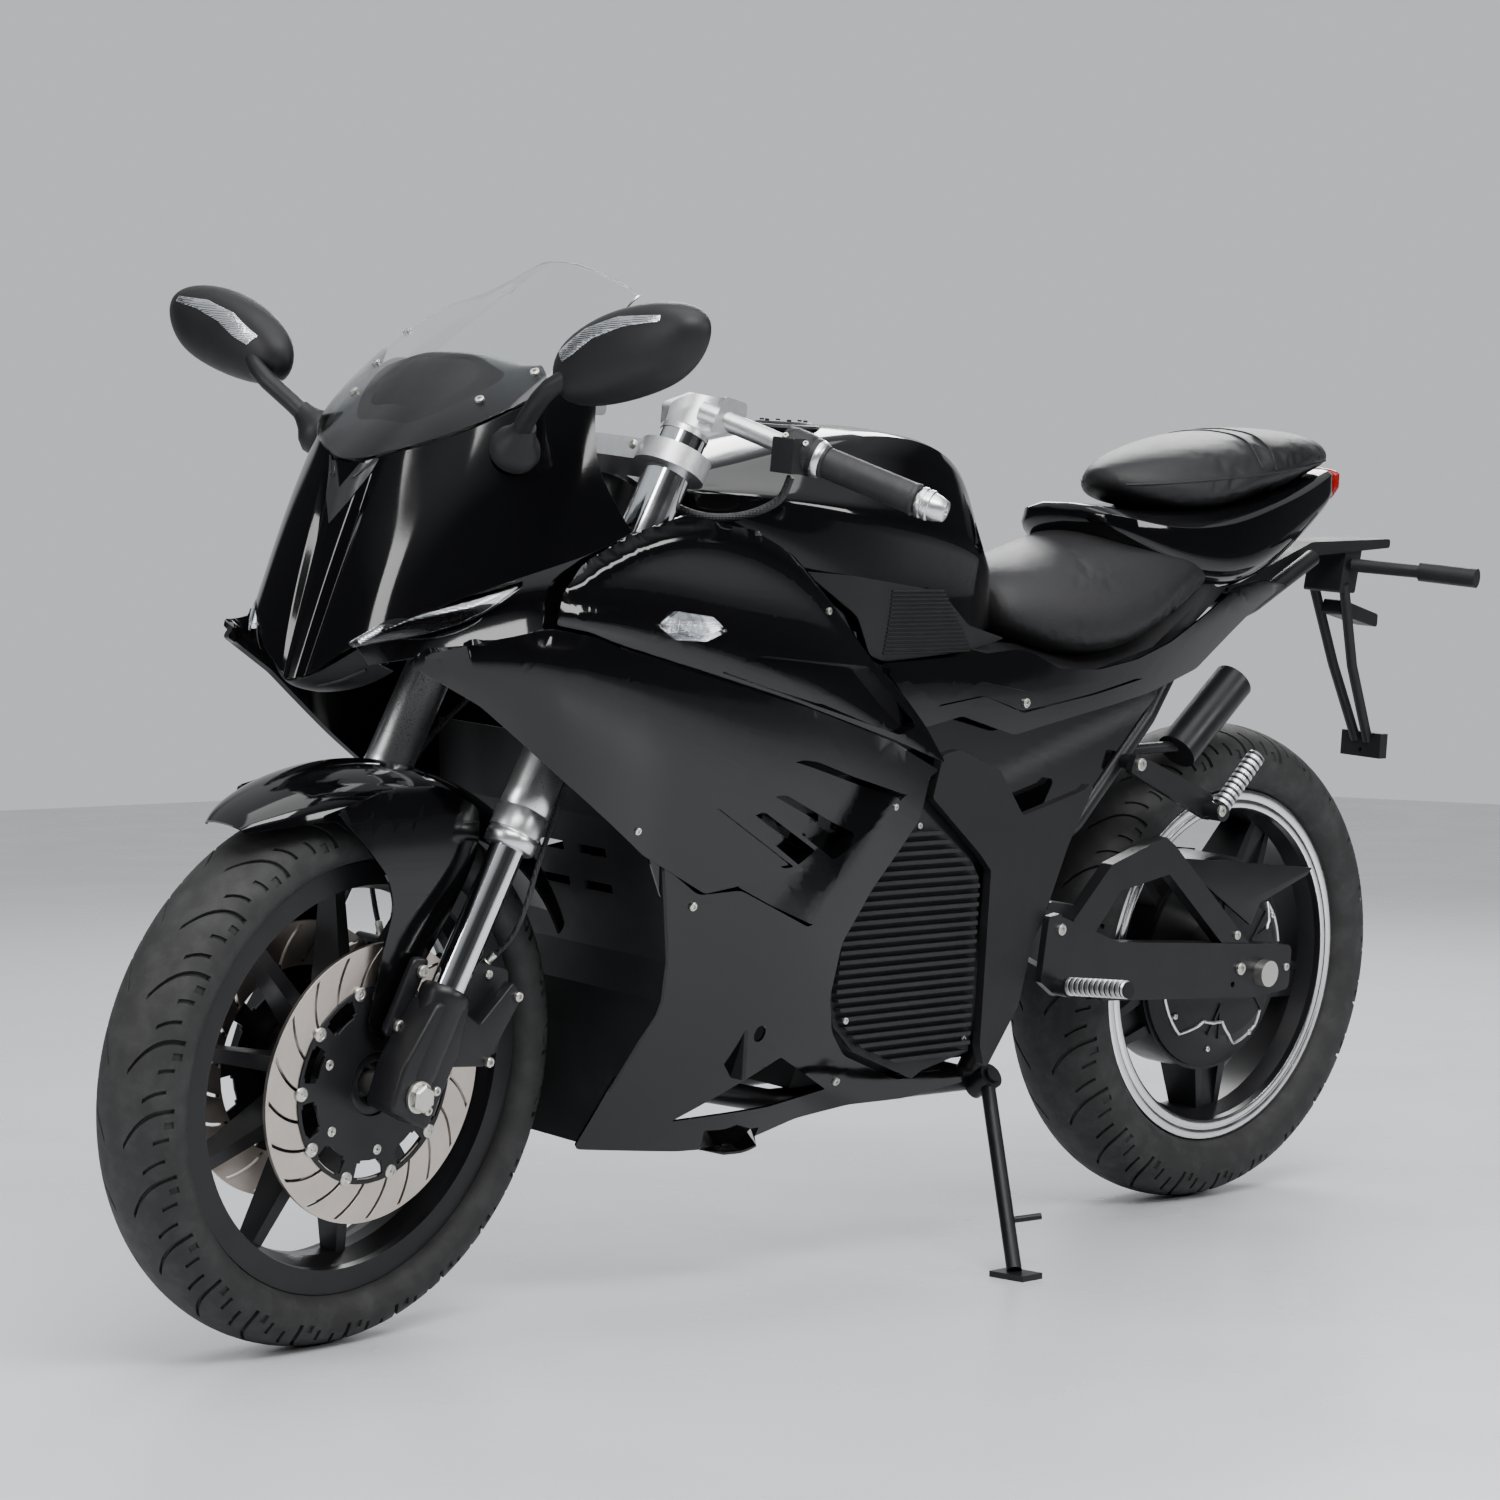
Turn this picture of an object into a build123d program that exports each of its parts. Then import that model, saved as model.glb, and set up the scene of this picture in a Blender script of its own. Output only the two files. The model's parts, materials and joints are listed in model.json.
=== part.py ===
"""Faired electric sport motorcycle, parked on its side stand.

Millimetres. Modelled upright: +X forward, +Y to the rider's left, +Z up, origin on the
ground below the middle of the wheelbase. At the end the front end is turned to its parked
steering angle, and the whole machine is leaned onto its side stand.
"""

from build123d import *
from functools import lru_cache
import math
import os

# Driving dimensions
WHEELBASE = 1420.0
BEAD_SEAT_R = 215.9  # 17 inch rim
FLANGE_R = 231.0
FRONT_TYRE_W = 110.0
FRONT_TYRE_H = 77.0
REAR_TYRE_W = 140.0
REAR_TYRE_H = 98.0
FRONT_RIM_W = 76.0
REAR_RIM_W = 104.0
RAKE = 26.5
FORK_OFFSET = 40.0
FORK_HALF = 108.0  # fork leg centre from the middle plane
FORK_UPPER_R = 26.0
FORK_LOWER_R = 18.5
DISC_R = 149.0
DISC_T = 4.5
DISC_Y = 62.0
SPOKES_FRONT = 10
SPOKES_REAR = 5
HUB_MOTOR_R = 137.0
PANEL_T = 3.5  # fairing wall
SCREEN_T = 3.0
PARK_STEER = 6.0  # steering turned left when parked
PARK_LEAN = 4.8  # lean to the left when parked
ORIGIN_X = -29.0  # middle of the overall length, from the middle of the wheelbase
ORIGIN_Y = 90.5  # middle of the overall width when leaned

FRONT_R = BEAD_SEAT_R + FRONT_TYRE_H
REAR_R = BEAD_SEAT_R + REAR_TYRE_H
FRONT_AXLE = Vector(WHEELBASE / 2, 0, FRONT_R)
REAR_AXLE = Vector(-WHEELBASE / 2, 0, REAR_R)
RAKE_RAD = math.radians(RAKE)
STEER_DIR = Vector(-math.sin(RAKE_RAD), 0, math.cos(RAKE_RAD))
STEER_BASE = FRONT_AXLE - Vector(FORK_OFFSET / math.cos(RAKE_RAD), 0, 0)

nodes = {}
steered = set()


def on_fork(s, y=0.0, ahead=0.0):
    """Point at distance s up the fork line from the axle, ahead of it square to the line."""
    normal = Vector(math.cos(RAKE_RAD), 0, math.sin(RAKE_RAD))
    return FRONT_AXLE + STEER_DIR * s + normal * ahead + Vector(0, y, 0)


def rod(start, end, radius, bore=0.0):
    start, end = Vector(*start), Vector(*end)
    axis = end - start
    plane = Plane(origin=start, z_dir=axis)
    solid = Solid.make_cylinder(radius, axis.length, plane)
    if bore:
        solid = solid - Solid.make_cylinder(bore, axis.length, plane)
    return solid


def pipe(points, radius, bend):
    """Round bar along straight runs joined by tangent arcs."""
    path = FilletPolyline(*[Vector(*p) for p in points], radius=bend) if len(points) > 2 else Line(*points)
    start = path @ 0
    section = Plane(origin=start, z_dir=path % 0) * Circle(radius)
    return sweep(section, path=path)


def side_plate(outline, y_low, y_high, rounding=0.0):
    """Plate with its outline in side view, points (x, z), between two y values."""
    points = [Vector(x, y_low, z) for x, z in outline]
    if rounding:
        edge = FilletPolyline(*points, radius=rounding, close=True)
    else:
        edge = Polyline(*points, close=True)
    return extrude(make_face(edge), amount=y_high - y_low, dir=(0, 1, 0))


def both_sides(solid):
    return [solid, solid.mirror(Plane.XZ)]


@lru_cache(maxsize=None)
def half_body(inset=0.0):
    """Left half of the faired body, set in by an amount, through the sections in SIDE."""
    wires = []
    for x, points in SIDE:
        outer = [Vector(x, max(y - inset, 0.5), z) for y, z in points]
        ring = [Vector(x, 0, points[0][1])] + outer + [Vector(x, 0, points[-1][1])]
        wires.append(Wire(Polyline(*ring, close=True).edges()))
    return Solid.make_loft(wires, ruled=True)


@lru_cache(maxsize=None)
def half_wall(inset, thickness):
    return half_body(inset) - half_body(inset + thickness)


def shell_panel(outline, inset=0.0, thickness=PANEL_T):
    """Panel cut from the left wall of the body by an outline in side view."""
    return half_wall(inset, thickness) & side_plate(outline, 1.0, 400.0)


def add(name, shapes, steer=False):
    flat = []
    for shape in shapes if isinstance(shapes, (list, tuple)) else [shapes]:
        flat.extend(shape.solids())
    nodes[name] = flat
    if steer:
        steered.add(name)


# Tyres and rims

def tyre(width, height, rim_width, crown_drop):
    half = width / 2
    outer = BEAD_SEAT_R + height
    bead = rim_width / 2 - 5
    wall = 9.0
    shoulder = outer - crown_drop
    lip = FLANGE_R + 1
    bulge = lip + 0.3 * (shoulder - lip)
    side = half - 0.22 * (half - bead)
    edges = [
        ThreePointArc((0, -half, shoulder), (0, 0, outer), (0, half, shoulder)),
        ThreePointArc((0, half - wall, shoulder), (0, 0, outer - wall), (0, -half + wall, shoulder)),
    ]
    for k in (1, -1):
        edges.append(ThreePointArc((0, k * half, shoulder), (0, k * side, bulge), (0, k * bead, lip)))
        edges.append(Line((0, k * bead, lip), (0, k * bead, BEAD_SEAT_R)))
        edges.append(Line((0, k * bead, BEAD_SEAT_R), (0, k * (bead - wall), BEAD_SEAT_R)))
        edges.append(Line((0, k * (bead - wall), BEAD_SEAT_R), (0, k * (bead - wall), lip)))
        edges.append(ThreePointArc((0, k * (bead - wall), lip), (0, k * (side - wall), bulge),
                                   (0, k * (half - wall), shoulder)))
    return revolve(make_face(edges), axis=Axis.Y)


def rim_barrel(rim_width, well_r, lip_r):
    half = rim_width / 2
    seat = BEAD_SEAT_R
    bead = half - 5
    ring = [
        (-half, lip_r), (-half, FLANGE_R), (-bead, FLANGE_R), (-bead, seat - 0.3),
        (-bead + 16, seat - 2), (-bead + 22, well_r + 5), (bead - 22, well_r + 5),
        (bead - 16, seat - 2), (bead, seat - 0.3), (bead, FLANGE_R), (half, FLANGE_R),
        (half, lip_r), (half - 8, lip_r - 1), (bead - 24, well_r), (-bead + 24, well_r),
        (-half + 8, lip_r - 1),
    ]
    return revolve(make_face(Polyline(*[(0, y, r) for y, r in ring], close=True)), axis=Axis.Y)


def spoke(inner_r, outer_r, inner_w, outer_w, inner_t, outer_t, angle):
    """Tapered bar from the hub to the rim, pointing up at angle zero."""
    low = Plane(origin=(0, 0, inner_r), z_dir=(0, 0, 1)) * Rectangle(inner_w, inner_t)
    high = Plane(origin=(0, 0, outer_r), z_dir=(0, 0, 1)) * Rectangle(outer_w, outer_t)
    return loft([low, high]).rotate(Axis.Y, angle)


def ring_y(outer_r, inner_r, y_low, y_high):
    body = Solid.make_cylinder(outer_r, y_high - y_low, Plane(origin=(0, y_low, 0), z_dir=(0, 1, 0)))
    if inner_r:
        body = body - Solid.make_cylinder(
            inner_r, y_high - y_low, Plane(origin=(0, y_low, 0), z_dir=(0, 1, 0)))
    return body


def at(shape, place):
    return shape.moved(Location(place))


AXLE_R = 9.0
AXLE_GAP = 0.05
FRONT_HUB_R = 26.0
FRONT_HUB_HALF = 52.0


def front_wheel():
    rim = rim_barrel(FRONT_RIM_W, 196.0, 205.0)
    hub = ring_y(FRONT_HUB_R, 0, -FRONT_HUB_HALF, FRONT_HUB_HALF)
    hub = hub + ring_y(58, 0, -38, -30) + ring_y(58, 0, 30, 38)
    rim = rim + hub
    for i in range(SPOKES_FRONT):
        rim = rim + spoke(20, 199, 20, 13, 60, 24, 360 / SPOKES_FRONT * i + 6)
    rim = rim - ring_y(AXLE_R + AXLE_GAP, 0, -60, 60)
    add("front_tyre", at(tyre(FRONT_TYRE_W, FRONT_TYRE_H, FRONT_RIM_W, 38.0), FRONT_AXLE), True)
    add("front_rim", at(rim, FRONT_AXLE), True)
    discs = []
    for side in (-1, 1):
        y0 = side * DISC_Y - DISC_T / 2
        band = ring_y(DISC_R, 101, y0, y0 + DISC_T)
        carrier = ring_y(106, 30, y0 - 3 if side > 0 else y0 + DISC_T - 2, y0 + 2 if side > 0 else y0 + DISC_T + 3)
        for i in range(8):
            window = Box(26, 30, 22).moved(Location((0, side * DISC_Y, 84))).rotate(Axis.Y, 45 * i + 10)
            carrier = carrier - window
        hub_ring = ring_y(48, 30, *sorted((side * 38, side * (DISC_Y - 1))))
        disc = band + carrier + hub_ring
        cuts = [disc]
        for i in range(16):
            slot = Box(2.6, 12, 44).moved(Location((16, side * DISC_Y, 126)))
            slot = slot.rotate(Axis((16, 0, 126), (0, 1, 0)), 24).rotate(Axis.Y, 22.5 * i)
            cuts.append(slot)
        disc = disc.cut(*cuts[1:])
        discs.append(at(disc, FRONT_AXLE))
    add("front_discs", discs, True)


REAR_HUB_HALF = 66.0


def rear_wheel():
    rim = rim_barrel(REAR_RIM_W, 196.0, 206.0)
    for i in range(SPOKES_REAR):
        arm = spoke(HUB_MOTOR_R + 1, 199, 62, 44, 60, 46, 72 * i + 43)
        pocket = spoke(HUB_MOTOR_R - 20, 215, 36, 24, 30, 24, 72 * i + 43).moved(Location((0, 34, 0)))
        rim = rim + (arm - pocket)
    rim = rim + ring_y(HUB_MOTOR_R + 5, HUB_MOTOR_R + 0.2, -34, 34)
    profile = [
        (-REAR_HUB_HALF, 0), (-REAR_HUB_HALF, 46), (-52, 60), (-46, 118), (-38, HUB_MOTOR_R),
        (38, HUB_MOTOR_R), (46, 124), (58, 104), (64, 92), (64, 34), (REAR_HUB_HALF, 30),
        (REAR_HUB_HALF, 0),
    ]
    drum = revolve(make_face(Polyline(*[(0, y, r) for y, r in profile], close=True)), axis=Axis.Y)
    for i in range(5):
        for turn in (-16, 16):
            rib = Box(4, 6, 46).moved(Location((0, 63, 74))).rotate(
                Axis((0, 0, 54), (0, 1, 0)), turn).rotate(Axis.Y, 72 * i + 20)
            drum = drum + rib
    drum = drum - ring_y(11 + AXLE_GAP, 0, -80, 80)
    add("rear_tyre", at(tyre(REAR_TYRE_W, REAR_TYRE_H, REAR_RIM_W, 46.0), REAR_AXLE))
    add("rear_rim", at(rim, REAR_AXLE))
    add("hub_motor", at(drum, REAR_AXLE))
    y0 = -72.0
    disc = ring_y(120, 30, y0, y0 + DISC_T) + ring_y(46, 30, y0 + DISC_T, -REAR_HUB_HALF - 0.02)
    for i in range(12):
        disc = disc - Box(2.6, 12, 34).moved(Location((0, y0, 96))).rotate(
            Axis((0, 0, 96), (0, 1, 0)), 24).rotate(Axis.Y, 30 * i)
    add("rear_disc", at(disc, REAR_AXLE))


# Front end

def fork():
    upper, lower = [], []
    for side in (1, -1):
        y = side * FORK_HALF
        upper.append(rod(on_fork(287, y), on_fork(772, y), FORK_UPPER_R, FORK_LOWER_R + 0.2))
        leg = rod(on_fork(70, y), on_fork(500, y), FORK_LOWER_R)
        lug = side_plate([(-34, -26), (26, -26), (34, 20), (24, 96), (-20, 112), (-34, 60)],
                         -21, 21, 8)
        lug = lug.rotate(Axis.Y, -RAKE).moved(Location(FRONT_AXLE + Vector(0, y, 0)))
        bracket = side_plate([(-30, 40), (-92, 64), (-104, 150), (-82, 158), (-60, 100), (-28, 104)],
                             -7, 7, 5)
        bracket = bracket.rotate(Axis.Y, -RAKE).moved(Location(FRONT_AXLE + Vector(0, y, 0)))
        part = leg + lug + bracket
        part = part - at(ring_y(AXLE_R + AXLE_GAP, 0, -200, 200), FRONT_AXLE)
        lower.append(part)
    add("fork_upper_tubes", upper, True)
    add("fork_legs", lower, True)

    axle = ring_y(AXLE_R, 5, -134, 134) + ring_y(14, 5, 129.5, 138) + ring_y(14, 5, -138, -129.5)
    axle = axle + ring_y(13, 8, 52.2, 86.8) + ring_y(13, 8, -86.8, -52.2)
    add("front_axle", at(axle, FRONT_AXLE), True)

    clamps = []
    stem = rod(on_fork(470, 0, -FORK_OFFSET), on_fork(752, 0, -FORK_OFFSET), 15)
    for s, thick in ((478, 34), (722, 24)):
        base = Plane(origin=on_fork(s), z_dir=STEER_DIR, x_dir=(0, 1, 0))
        plate = base * Rectangle(2 * FORK_HALF, 52)
        plate = extrude(plate, amount=thick)
        for side in (1, -1):
            eye = Solid.make_cylinder(40, thick, Plane(origin=on_fork(s, side * FORK_HALF), z_dir=STEER_DIR))
            plate = plate + eye
        boss = Solid.make_cylinder(30, thick, Plane(origin=on_fork(s, 0, -FORK_OFFSET), z_dir=STEER_DIR))
        clamps.append(plate + boss)
    whole = clamps[0] + clamps[1] + stem
    for side in (1, -1):
        whole = whole - rod(on_fork(400, side * FORK_HALF), on_fork(800, side * FORK_HALF), FORK_UPPER_R + 0.05)
    add("fork_clamps", whole, True)


BAR_R = 11.0
BAR_IN = Vector(334, 100, 1006)
BAR_OUT = Vector(236, 356, 930)


def bar_point(share):
    return BAR_IN + (BAR_OUT - BAR_IN) * share


def handlebars():
    bars, grips, controls = [], [], []
    clamp = rod(on_fork(747, FORK_HALF), on_fork(772, FORK_HALF), 37, FORK_UPPER_R + 0.05)
    riser = side_plate([(296, 985), (372, 985), (372, 1012), (330, 1024), (296, 1018)], 76, 132, 6)
    riser = riser - rod(on_fork(700, FORK_HALF), on_fork(1000, FORK_HALF), FORK_UPPER_R + 0.05)
    bar = rod(bar_point(0.0), bar_point(0.97), BAR_R) + riser + clamp
    bars.extend(both_sides(max(bar.solids(), key=lambda body: body.volume)))
    grip = rod(bar_point(0.52), bar_point(0.95), 16.5, BAR_R + 0.05)
    end = rod(bar_point(0.955), bar_point(1.04), 14, 0)
    end = end - rod(bar_point(0.9), bar_point(0.971), BAR_R + 0.05)
    for part in (grip, end):
        grips.extend(both_sides(part))
    for side in (1, -1):
        box = rod(bar_point(0.36), bar_point(0.50), 22, BAR_R + 0.05)
        pod = Box(34, 30, 38).moved(Location(bar_point(0.43) + Vector(14, 0, -4)))
        pod = pod - rod(bar_point(0.2), bar_point(0.7), BAR_R + 0.05)
        box = box + pod
        controls.append(box if side > 0 else box.mirror(Plane.XZ))
    lever_pivot = bar_point(0.33) + Vector(36, 0, 0)
    lever = pipe([lever_pivot, lever_pivot + Vector(18, 34, -8), bar_point(0.95) + Vector(44, 0, 0)], 5, 12)
    reservoir = rod(lever_pivot + Vector(-4, -26, 8), lever_pivot + Vector(-4, -26, 44), 15)
    body = rod(bar_point(0.26), bar_point(0.34), 17, BAR_R + 0.05) + rod(
        bar_point(0.30) + Vector(18, 0, 0), lever_pivot, 8) + rod(
        lever_pivot + Vector(-4, -26, 0), lever_pivot + Vector(0, 2, 0), 9)
    lever = (lever + body + reservoir - rod(bar_point(0.1), bar_point(0.6), BAR_R + 0.05)).mirror(Plane.XZ)
    controls.append(lever)
    add("handlebars", bars, True)
    add("grips", grips, True)
    add("bar_controls", controls, True)


FENDER_GAP = 14.0


def front_fender():
    """Arched guard over the tyre with side skirts that reach down to the fork legs."""
    inner = FRONT_R + FENDER_GAP
    half = FRONT_TYRE_W / 2 + 12
    arc = [
        ThreePointArc((0, -half, inner - 44), (0, 0, inner + 4), (0, half, inner - 44)),
        Line((0, half, inner - 44), (0, half + 3, inner - 44)),
        ThreePointArc((0, half + 3, inner - 44), (0, 0, inner + 8), (0, -half - 3, inner - 44)),
        Line((0, -half - 3, inner - 44), (0, -half, inner - 44)),
    ]
    guard = revolve(make_face(arc), axis=Axis.Y, revolution_arc=118).rotate(Axis.Y, -60)
    guard = at(guard, FRONT_AXLE)
    skirts = []
    for side in (1, -1):
        y = side * (half + 1)
        skirt = side_plate([(766, 600), (690, 600), (600, 560), (640, 460), (668, 400), (700, 400),
                            (700, 470), (735, 540)], y - 2, y + 2, 10)
        mount = rod(on_fork(195, side * half), on_fork(195, side * (FORK_HALF - 19)), 7)
        skirts.append(skirt + mount)
    for skirt in skirts:
        guard = guard + skirt
    add("front_fender", guard, True)


def front_calipers():
    calipers = []
    for side in (1, -1):
        body = side_plate([(-34, -46), (26, -52), (34, 0), (28, 52), (-30, 46), (-40, 0)],
                          side * DISC_Y - 27, side * DISC_Y + 27, 8)
        body = body.rotate(Axis.Y, -8).moved(Location((FRONT_AXLE.X - 124, 0, FRONT_AXLE.Z + 70)))
        slot = at(ring_y(DISC_R + 6, 0, side * DISC_Y - DISC_T / 2 - 2.5, side * DISC_Y + DISC_T / 2 + 2.5), FRONT_AXLE)
        hub_room = at(ring_y(111, 0, side * DISC_Y - 30, side * DISC_Y + 30), FRONT_AXLE)
        calipers.append(body - slot - hub_room)
    add("front_calipers", calipers, True)


# Body panels: cross sections of the left side, (x, points (y, z) from low to high).
# Columns: belly edge, lower side, fold below the wing, wing edge, upper side, rim.
SIDE = [
    (765, [(44, 690), (96, 705), (140, 722), (150, 738), (150, 760), (140, 800)]),
    (620, [(60, 430), (132, 520), (198, 645), (214, 777), (206, 815), (196, 862)]),
    (508, [(58, 200), (150, 380), (190, 565), (225, 750), (216, 812), (206, 890)]),
    (390, [(66, 180), (158, 350), (188, 500), (216, 724), (214, 800), (206, 872)]),
    (210, [(86, 172), (162, 340), (182, 500), (197, 690), (192, 765), (180, 815)]),
    (64, [(98, 204), (156, 340), (176, 490), (172, 642), (166, 690), (158, 728)]),
    (-60, [(101, 203), (147, 320), (165, 470), (158, 598), (152, 625), (146, 655)]),
    (-180, [(100, 214), (132, 300), (150, 420), (146, 520), (140, 560), (134, 600)]),
]

def side_fairings():
    outline = [(757, 735), (745, 747), (615, 775), (563, 767), (508, 748), (391, 722), (64, 640),
               (-29, 604), (41, 576), (200, 620), (260, 634), (383, 590), (318, 560), (212, 500),
               (355, 485), (456, 533), (585, 623), (626, 650)]
    add("side_fairings", both_sides(shell_panel(outline, inset=-4.0)))


SCOOP = [(381, 588), (260, 631), (200, 617), (41, 574), (172, 437), (292, 488), (214, 499), (320, 559)]
SCOOP_WALL = [(340, 598), (250, 622), (190, 610), (70, 566), (172, 462), (262, 496), (214, 506), (306, 560)]
SCOOP_OPENING = [(322, 590), (250, 612), (190, 600), (90, 558), (172, 484), (215, 512), (292, 560)]
# Louvre bars across the scoop: top x, top z, foot x, foot z
LOUVRES = [(262, 606, 176, 508), (206, 596, 120, 530)]


def vent_scoops():
    """Gloss surround behind the side fairing, a recessed floor and two louvre bars."""
    opening = side_plate(SCOOP_OPENING, 100, 300)
    wall = side_plate(SCOOP_WALL, 100, 300)
    face = shell_panel(SCOOP) - opening
    ring = half_wall(PANEL_T - 0.5, 23.0) & (wall - opening)
    floor = half_wall(22.0, PANEL_T) & wall
    scoop = face + ring + floor
    for x_top, z_top, x_foot, z_foot in LOUVRES:
        bar = side_plate([(x_top, z_top), (x_top - 14, z_top - 2), (x_foot - 14, z_foot - 2),
                          (x_foot, z_foot)], 100, 300)
        scoop = scoop + (half_wall(5.0, 18.0) & bar & wall)
    add("vent_scoops", both_sides(scoop))


UPPER = [(612, 779), (600, 812), (566, 843), (512, 867), (433, 878), (259, 840), (204, 812),
         (98, 731), (76, 728), (-3, 656), (-40, 612), (64, 635), (391, 717), (508, 743), (563, 763)]
POCKET = [(376, 722), (311, 744), (108, 727), (10, 657), (52, 648), (200, 686)]
POCKET_EDGE = [(382, 724), (311, 750), (104, 733), (0, 658), (50, 642), (200, 680)]
INDICATOR = [(474, 778), (448, 792), (398, 786), (378, 772), (408, 762), (450, 764)]


def upper_panels():
    """Panel above the wing edge with a sunk pocket and the indicator's hole."""
    outline = side_plate(UPPER, 1, 300)
    pocket = side_plate(POCKET, 100, 300)
    edge = side_plate(POCKET_EDGE, 100, 300) - pocket
    skin = half_wall(0.0, PANEL_T) & (outline - pocket)
    floor = half_wall(14.0, PANEL_T) & outline & pocket
    rim = half_wall(1.0, 13.0 + PANEL_T) & edge & outline
    panel = skin + floor + rim - side_plate(INDICATOR, 150, 300, 4)
    add("upper_panels", both_sides(panel))


LOWER = [(442, 545), (405, 477), (380, 408), (377, 367), (392, 320), (405, 256), (416, 188),
         (272, 173), (194, 171), (103, 197), (22, 206), (-70, 205), (-173, 216), (-160, 236),
         (-46, 231), (62, 272), (96, 305), (113, 349), (110, 411), (70, 470), (-7, 548),
         (-23, 596), (37, 584), (170, 445), (292, 496), (355, 494)]


def lower_fairings():
    panel = shell_panel(LOWER, inset=PANEL_T + 0.3)
    panel = panel - rod((215, 60, 313), (215, 260, 313), 9.5)
    panel = panel - side_plate([(300, 213), (170, 281), (72, 231), (160, 218)], 40, 260, 5)
    add("lower_fairings", both_sides(panel))


def inner_panel():
    """Dark panel behind the front wheel that joins the two sides."""
    front = [(440, 640), (432, 560), (408, 480), (388, 410), (384, 365), (394, 320), (404, 256), (412, 196)]
    back = [(x - 4, z) for x, z in reversed(front)]
    sheet = side_plate(front + back, -180, 180)
    room = half_body(8.0)
    sheet = sheet & (room + room.mirror(Plane.XZ))
    for z in (480, 520):
        for y in (-70, 0, 70):
            sheet = sheet - Box(200, 44, 10).moved(Location((420, y, z)))
    add("inner_panel", sheet)


# Nose and screen: horizontal sections (z, front x, (mid x, mid y), (rear x, rear y)).
NOSE = [
    (700, 790, (764, 84), (640, 180)),
    (787, 770, (748, 112), (540, 216)),
    (853, 743, (716, 112), (500, 214)),
    (930, 717, (690, 105), (470, 205)),
    (1000, 648, (612, 106), (420, 186)),
    (1060, 576, (545, 100), (370, 170)),
    (1158, 446, (425, 90), (300, 135)),
]


@lru_cache(maxsize=None)
def nose_body(inset=0.0):
    wires = []
    for z, front, mid, rear in NOSE:
        f = (front - inset * 1.2, 0, z)
        m = (mid[0] - inset * 0.7, mid[1] - inset * 0.8, z)
        r = (rear[0], rear[1] - inset, z)
        edges = [
            ThreePointArc((r[0], -r[1], z), (m[0], -m[1], z), f),
            ThreePointArc(f, m, r),
            Line(r, (r[0], -r[1], z)),
        ]
        wires.append(Wire(edges))
    return Solid.make_loft(wires, ruled=True)


COWL = [(810, 733), (800, 760), (765, 860), (724, 930), (698, 941), (653, 967), (583, 1016), (538, 1050),
        (545, 998), (560, 952), (538, 902), (514, 874), (563, 850), (655, 824), (740, 782), (768, 764),
        (781, 733)]
BEAK = [(776, 704), (810, 704), (810, 733.5), (776, 733.5)]
SCREEN = [(730, 930.3), (724, 930.3), (698.2, 941.3), (653.2, 967.3), (583.2, 1016.3), (538.2, 1050.3), (527, 1063), (447, 1119), (428, 1133),
          (470, 1157), (800, 1157), (800, 930)]
HOOD = [(700, 936), (640, 980), (570, 1024), (500, 1036), (456, 1010), (520, 930), (640, 890)]
LAMP = [(776, 750), (768, 762.5), (740, 780.5), (655, 822.5), (640, 826), (672, 792), (722, 758)]
MOUTH = [(690, 703), (800, 703), (790, 732), (768, 761), (740, 779), (700, 768)]
MOUTH_HALF = 84.0
SCREEN_BOLTS = [(640, 990), (560, 1042)]


def nose():
    wall = nose_body() - nose_body(PANEL_T)
    beak = wall & side_plate(BEAK, -18, 18)
    cowl = (wall & side_plate(COWL, -260, 260)) + beak
    add("nose_cowl", cowl)
    add("windscreen", (nose_body() - nose_body(SCREEN_T)) & side_plate(SCREEN, -260, 260))
    add("instrument_hood", nose_body(PANEL_T + 0.3) & side_plate(HOOD, -112, 112, 6))
    lamp = (nose_body(1.0) - nose_body(30)) & side_plate(LAMP, MOUTH_HALF + 2, 260)
    add("headlights", both_sides(lamp))
    mouth = (nose_body(4) - nose_body(10)) & side_plate(MOUTH, -MOUTH_HALF, MOUTH_HALF)
    for i in range(5):
        for side in (1, -1):
            mouth = mouth - Box(200, 40, 3.4).moved(Location((760, side * 50, 710 + 8 * i)))
    add("nose_grille", mouth)


def indicators():
    lens = side_plate(INDICATOR, 200, 228, 4)
    add("front_indicators", both_sides(lens))


MIRROR_BASE = Vector(640, 168, 962)
MIRROR_KNEE = Vector(664, 238, 1014)


def mirrors():
    housings, glasses = [], []
    outline = [(230, 1000), (300, 985), (400, 1030), (446, 1088), (400, 1104), (300, 1098), (236, 1050)]
    face = make_face(FilletPolyline(*[Vector(628, y, z) for y, z in outline], radius=14, close=True))
    shell = extrude(face, amount=44, dir=(1, 0, 0))
    glass_outline = [(252, 1008), (300, 996), (392, 1038), (430, 1084), (396, 1094), (304, 1088), (252, 1046)]
    glass_face = make_face(FilletPolyline(*[Vector(626, y, z) for y, z in glass_outline], radius=12, close=True))
    glass = extrude(glass_face, amount=5, dir=(1, 0, 0))
    shell = shell - extrude(glass_face, amount=8, dir=(1, 0, 0))
    stalk = rod(MIRROR_BASE, MIRROR_KNEE + Vector(-8, 6, 6), 9)
    ball = Solid.make_sphere(20).moved(Location(MIRROR_BASE))
    foot = ball - nose_body(-0.4)
    housings = both_sides(shell + stalk + foot)
    add("mirrors", housings)
    add("mirror_glasses", both_sides(glass.moved(Location((2, 0, 0)))))


# Tank, seats and tail: cross sections (x, half width, low z, shoulder half width,
# shoulder z, top half width, top z)
TANK = [
    (300, 60, 860, 80, 900, 30, 915),
    (200, 120, 800, 130, 900, 60, 950),
    (100, 140, 742, 145, 880, 80, 978),
    (-60, 130, 742, 138, 860, 80, 984),
    (-150, 100, 746, 110, 840, 60, 930),
    (-200, 80, 752, 84, 790, 30, 850),
]


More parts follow.
